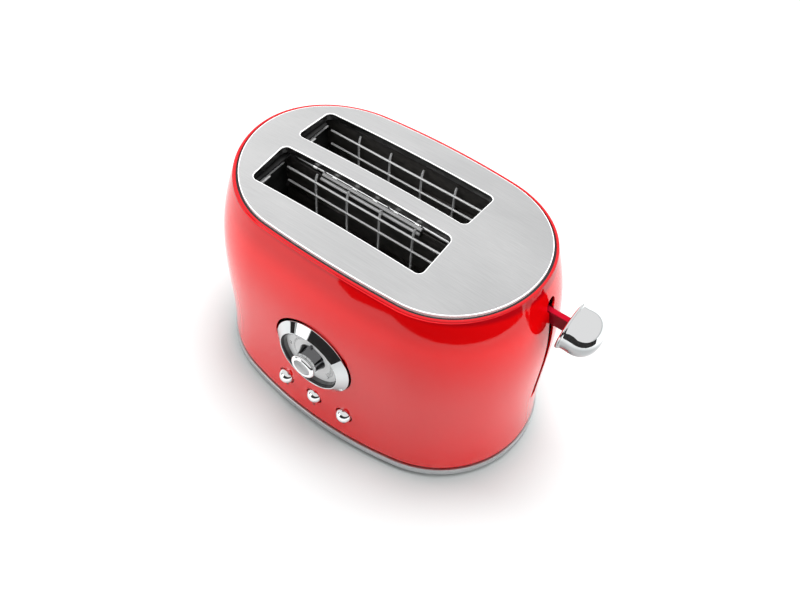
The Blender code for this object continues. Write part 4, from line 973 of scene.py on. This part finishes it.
refinish(black, "button_carrier", "cancel_switch", "reheat_switch", "defrost_switch")
refinish(black, "potentiometer", "switch_block")


# Boards and holding magnet
# A control board stands behind the dial and the buttons, and a power board lies under the
# carriage. The magnet on it holds the latch plate while the bread browns.

board = Finish("printed_circuit_board", (0.02, 0.12, 0.05), 0.4)
copper_run = board.node(
    "ShaderNodeTexVoronoi",
    {"distance": "MANHATTAN"},
    {"Vector": board.spot((1, 0.05, 1)), "Scale": 180},
    "Distance",
)
bare_green, raised_green = (0.015, 0.10, 0.045), (0.05, 0.19, 0.08)
board.feed(base_color=board.mix(copper_run.above(0.42, 0.5), bare_green, raised_green))
board.relief(copper_run, 0.00003, 0.4)
refinish(board, "control_board", "power_board")

winding = Finish("enamelled_copper_wire", (0.52, 0.19, 0.08), 0.3, 0.9)
turns = winding.node(
    "ShaderNodeTexWave",
    {"bands_direction": "Z"},
    {"Vector": winding.spot(), "Scale": 420, "Distortion": 0.4},
    "Fac",
)
winding.feed(base_color=winding.mix(turns, (0.30, 0.09, 0.035), (0.62, 0.25, 0.11)))
winding.relief(turns, 0.0001, 0.7)
refinish(winding, "magnet_coil")
refinish(sheet, "magnet_core")


# Crumb tray and cord gland
# A shallow steel tray slides out of the far end by its grip. A rubber gland in the back wall
# is where the supply lead goes in.

refinish(satin, "crumb_tray")
refinish(rubber, "cord_gland")


# Floor and light
# A plain white table under a large soft overhead light, two side lamps and a low panel at the
# front that reflections show. A black wall round the front and a small black card, both hidden
# from the camera, darken what the chrome and the enamel mirror.

white = Finish("white_table", (0.49, 0.51, 0.51), 0.7)
white.relief(white.noise(30), 0.0001, 0.02)
floor_reach = 5
room_brightness = 0.77


def staged(name, rows, finish):
    """A sheet of the set between rows of points, no part of the toaster"""
    form = bmesh.new()
    grid = [[form.verts.new(point) for point in row] for row in rows]
    for low_row, high_row in zip(grid, grid[1:]):
        for index in range(len(low_row) - 1):
            corners = (low_row[index], low_row[index + 1], high_row[index + 1], high_row[index])
            form.faces.new(corners)
    mesh = bpy.data.meshes.new(name)
    form.to_mesh(mesh)
    form.free()
    mesh.materials.append(finish.material)
    sheet_piece = bpy.data.objects.new(name, mesh)
    bpy.context.scene.collection.objects.link(sheet_piece)
    return sheet_piece


floor_rows = []
for y in (-floor_reach, floor_reach):
    floor_rows.append([(-floor_reach, y, 0), (floor_reach, y, 0)])
staged("floor", floor_rows, white)

world = bpy.data.worlds.new("studio")
world.use_nodes = True
world.node_tree.nodes["Background"].inputs["Color"].default_value = (1, 1, 1, 1)
world.node_tree.nodes["Background"].inputs["Strength"].default_value = room_brightness
bpy.context.scene.world = world


def softbox(name, place, aim, size, power, mirrored=False):
    """A large square soft lamp at a place, facing a point; reflections see it if mirrored"""
    lamp = bpy.data.lights.new(name, "AREA")
    lamp.shape = "RECTANGLE"
    lamp.size = lamp.size_y = size
    lamp.energy = power
    holder = bpy.data.objects.new(name, lamp)
    holder.location = place
    holder.rotation_euler = (Vector(aim) - Vector(place)).to_track_quat("-Z", "Y").to_euler()
    holder.visible_glossy = mirrored
    bpy.context.scene.collection.objects.link(holder)


softbox("overhead", (0, 0.22, 1.4), (0, 0, 0), 0.8, 35)
softbox("far_lamp", (-1.0, -0.25, 0.7), (0, 0, 0.05), 0.6, 6.2)
softbox("lever_lamp", (1.0, 0.15, 0.7), (0, 0, 0.05), 0.6, 4.5)
softbox("front_panel", (-0.5, -0.75, 0.25), (0, 0, 0.1), 0.35, 0.55, mirrored=True)


def direction(turn_angle, rise=0):
    """Unit vector at an angle from the front towards the lever, and a height angle"""
    turn_angle, rise = math.radians(turn_angle), math.radians(rise)
    flat = math.cos(rise)
    return Vector((flat * math.sin(turn_angle), -flat * math.cos(turn_angle), math.sin(rise)))


black_card = Finish("black_card", (0.01, 0.01, 0.01), 0.9)
# The wall's foot rises before an angle and its top sinks after two others, by metres a degree
wall_distance, wall_start, wall_step, wall_steps = 0.43, -18, 4, 30
wall_foot, foot_rise_before, foot_rise = 0.012, -14, 0.004
wall_top, top_fall_after, top_fall, most_top_fall = 0.27, 10, 0.003, 0.06
end_fall_after, end_fall = 35, 0.0015
low_rim, high_rim = [], []
for step in range(wall_steps):
    turn_angle = wall_start + wall_step * step
    spot = middle + direction(turn_angle) * wall_distance
    low = wall_foot + max(0, foot_rise_before - turn_angle) * foot_rise
    fall = min(most_top_fall, max(0, turn_angle - top_fall_after) * top_fall)
    high = wall_top - fall - max(0, turn_angle - end_fall_after) * end_fall
    low_rim.append((spot.x, spot.y, low))
    high_rim.append((spot.x, spot.y, high))
dark_wall = staged("card_round_front", [low_rim, high_rim], black_card)
dark_wall.visible_camera = False
dark_wall.visible_shadow = False

card_turn, card_distance, card_width, card_height = -55.5, 0.35, 0.1, 0.15
card_centre = middle + Vector((-0.027, -0.084, 0.102)) + direction(card_turn) * card_distance
card_side = direction(card_turn + 90) * card_width / 2
card_top = direction(card_turn, 90) * card_height / 2
card_rows = []
for edge in (card_centre - card_top, card_centre + card_top):
    card_rows.append([edge - card_side, edge + card_side])
bezel_card = staged("card_bezel", card_rows, black_card)
bezel_card.visible_camera = False
bezel_card.visible_diffuse = False
bezel_card.visible_shadow = False
